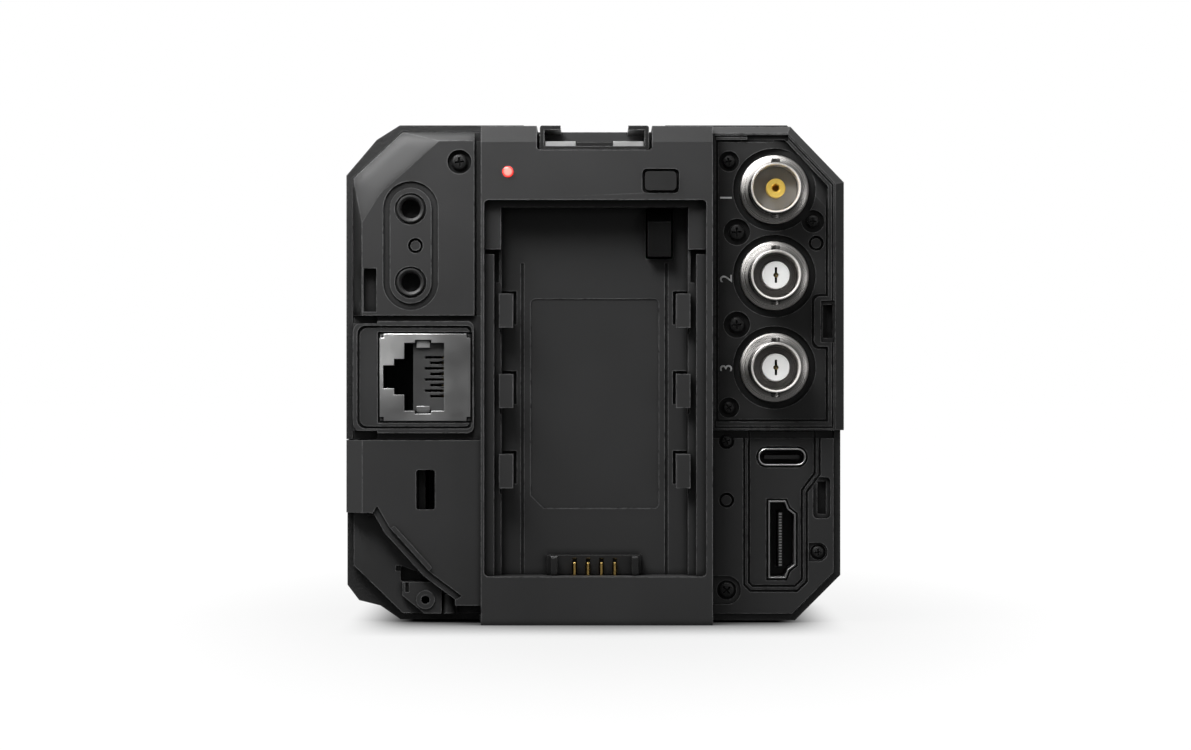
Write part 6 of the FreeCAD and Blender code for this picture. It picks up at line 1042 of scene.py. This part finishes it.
def mouthOutline():
    n = network
    (x0, x1), (z0, z1), (e0, e1) = n["mouthX"], n["mouthZ"], n["earX"]
    centre = (z0 + z1) / 2
    step, end = n["stepHalf"], n["endHalf"]
    stepX, endX = n["stepX"], n["endX"]
    return [
        (x0, z0), (e0, z0), (e0, z0 - n["ear"]), (e1, z0 - n["ear"]), (e1, z0), (x1, z0), (x1, z1),
        (e1, z1), (e1, z1 + n["ear"]), (e0, z1 + n["ear"]), (e0, z1), (x0, z1), (x0, centre + step),
        (stepX, centre + step), (stepX, centre + end), (endX, centre + end), (endX, centre - end),
        (stepX, centre - end), (stepX, centre - step), (x0, centre - step)]


def makeNetworkShield():
    n = network
    (x0, x1), (z0, z1), wall = n["x"], n["z"], n["sheet"]
    bm = bmesh.new()
    addPlate(bm, [shieldOutline(), mouthOutline()], n["face"], n["face"] + wall)
    inner = blockOutline((x0 + wall, x1 - wall), (z0 + wall, z1 - wall))
    addPlate(bm, [blockOutline((x0, x1), (z0, z1)), inner], n["face"] + wall, n["back"])
    (e0, e1), (low, high) = n["earX"], n["mouthZ"]
    reach = n["ear"] - n["tabClear"]
    for tab in ((low - reach, low + n["tabLap"]), (high - n["tabLap"], high + reach)):
        addBox(bm, (e0 + n["tabInset"], e1 - n["tabInset"]), [n["face"] + depth for depth in n["tabY"]], tab)
    piece = keepPiece("networkShield", bm, networkSheet, ["network_shield"])
    softenEdges(piece, n["sheetEdge"])


def makeNetworkComb():
    n = network
    centre = (n["mouthZ"][0] + n["mouthZ"][1]) / 2
    holes = []
    right = n["combX"][1] - n["slotInset"]
    for index in range(n["slots"]):
        z = centre + (index - (n["slots"] - 1) / 2) * n["pitch"]
        long = n["longSlot"] if index % 2 else n["shortSlot"]
        holes.append(blockOutline((right - long, right), (z - n["slotTall"] / 2, z + n["slotTall"] / 2)))
    bm = bmesh.new()
    edge = blockOutline(n["combX"], (n["mouthZ"][0] + n["combClear"], n["mouthZ"][1] - n["combClear"]))
    addPlate(bm, [edge, *holes], n["combFace"], n["combFace"] + n["combDeep"])
    piece = keepPiece("networkComb", bm, darkMoulding)
    softenEdges(piece, n["combEdge"])


makeNetworkShield()
makeNetworkComb()
print("network socket ready")

# Audio jacks: grey ring in a black groove darkened further by painted shade, blind bore

audio = {
    "x": -34.5, "heights": {"microphone": 77.3, "headphone": 63.6}, "face": -31.5, "ring": 2.5, "collar": 2.9,
    "bore": 1.8, "deep": 14.0, "collarEnd": -27.0, "collarSunk": 0.35, "blockY": (-27.3, -11.0),
    "blockHalf": (3.4, 3.2),
    # steps out from a radius and in behind the face
    "ringEdge": [(0.1, 0.4), (0.1, -0.05), (-0.05, -0.25)],
    "mouth": [(0.45, -0.25), (0.2, -0.1), (0.12, 0.25), (0.0, 0.3)],
}


def makeJack(kind, height):
    a = audio
    face, bore = a["face"], a["bore"]
    bm = bmesh.new()
    addTurned(bm, (a["x"], height), [
        (a["collar"], a["collarEnd"]), (a["collar"], face + a["collarSunk"]),
        *edgePoints(a["ring"], face, a["ringEdge"]), *edgePoints(bore, face, a["mouth"]),
        (bore, face + a["deep"]), (onAxis, face + a["deep"])])
    wide, tall = a["blockHalf"]
    addBox(bm, (a["x"] - wide, a["x"] + wide), a["blockY"], (height - tall, height + tall))
    keepPiece(kind + "Jack", bm, jackPlastic, [kind + "_jack"])


for kind, height in audio["heights"].items():
    makeJack(kind, height)
print("audio jacks ready")

# Status lamp: small dome

bm = bmesh.new()
profile = [(onAxis, lamp["face"] + lamp["long"]), (lamp["radius"], lamp["face"] + lamp["long"])]
for step in range(lamp["steps"] + 1):
    angle = math.radians(90 * step / lamp["steps"])
    radius = max(lamp["radius"] * math.cos(angle), onAxis)
    profile.append((radius, lamp["face"] - lamp["dome"] * math.sin(angle)))
addTurned(bm, (lampPlace[0], lampPlace[2]), profile, steps=lamp["turnSteps"])
keepPiece("statusLamp", bm, finishes["lamp_red"], ["status_lamp"])
print("status lamp ready")

# Contacts on the monitor socket's tongue

monitor = {
    "x": 34.6, "face": -28.65, "middle": 15.5, "count": 19, "pitch": 0.53, "tall": 0.3, "wide": 0.5,
    "deep": 0.8}
bm = bmesh.new()
for index in range(monitor["count"]):
    z = monitor["middle"] + (index - (monitor["count"] - 1) / 2) * monitor["pitch"]
    across = (monitor["x"] - monitor["wide"] / 2, monitor["x"] + monitor["wide"] / 2)
    depth = (monitor["face"], monitor["face"] + monitor["deep"])
    addBox(bm, across, depth, (z - monitor["tall"] / 2, z + monitor["tall"] / 2))
keepPiece("monitorContacts", bm, finishes["shield_tin"])
print("monitor contacts ready")

# Plain numbers beside the coaxial sockets

numbers = {
    "x": 24.5, "tall": 2.3, "face": -31.0, "heights": {"1": 79.4, "2": 64.3, "3": 47.6},
    "sizeShare": 1.4,       # of the digits' height
    "raised": 0.02}


def makeNumber(text, height):
    n = numbers
    curve = bpy.data.curves.new("digit", "FONT")
    curve.body = text
    curve.align_x = "CENTER"
    curve.align_y = "CENTER"
    curve.size = n["tall"] * n["sizeShare"]
    curve.extrude = n["raised"]
    holder = bpy.data.objects.new("digit", curve)
    mesh = bpy.data.meshes.new_from_object(holder)
    bpy.data.objects.remove(holder)
    bm = bmesh.new()
    bm.from_mesh(mesh)
    bmesh.ops.rotate(bm, verts=bm.verts, cent=(0, 0, 0), matrix=Matrix.Rotation(math.radians(90), 3, "Z"))
    bmesh.ops.rotate(bm, verts=bm.verts, cent=(0, 0, 0), matrix=Matrix.Rotation(math.radians(90), 3, "X"))
    bmesh.ops.translate(bm, verts=bm.verts, vec=(n["x"], n["face"], height))
    keepPiece("number" + text, bm, ink)


for text, height in numbers["heights"].items():
    makeNumber(text, height)
print("numbers ready")
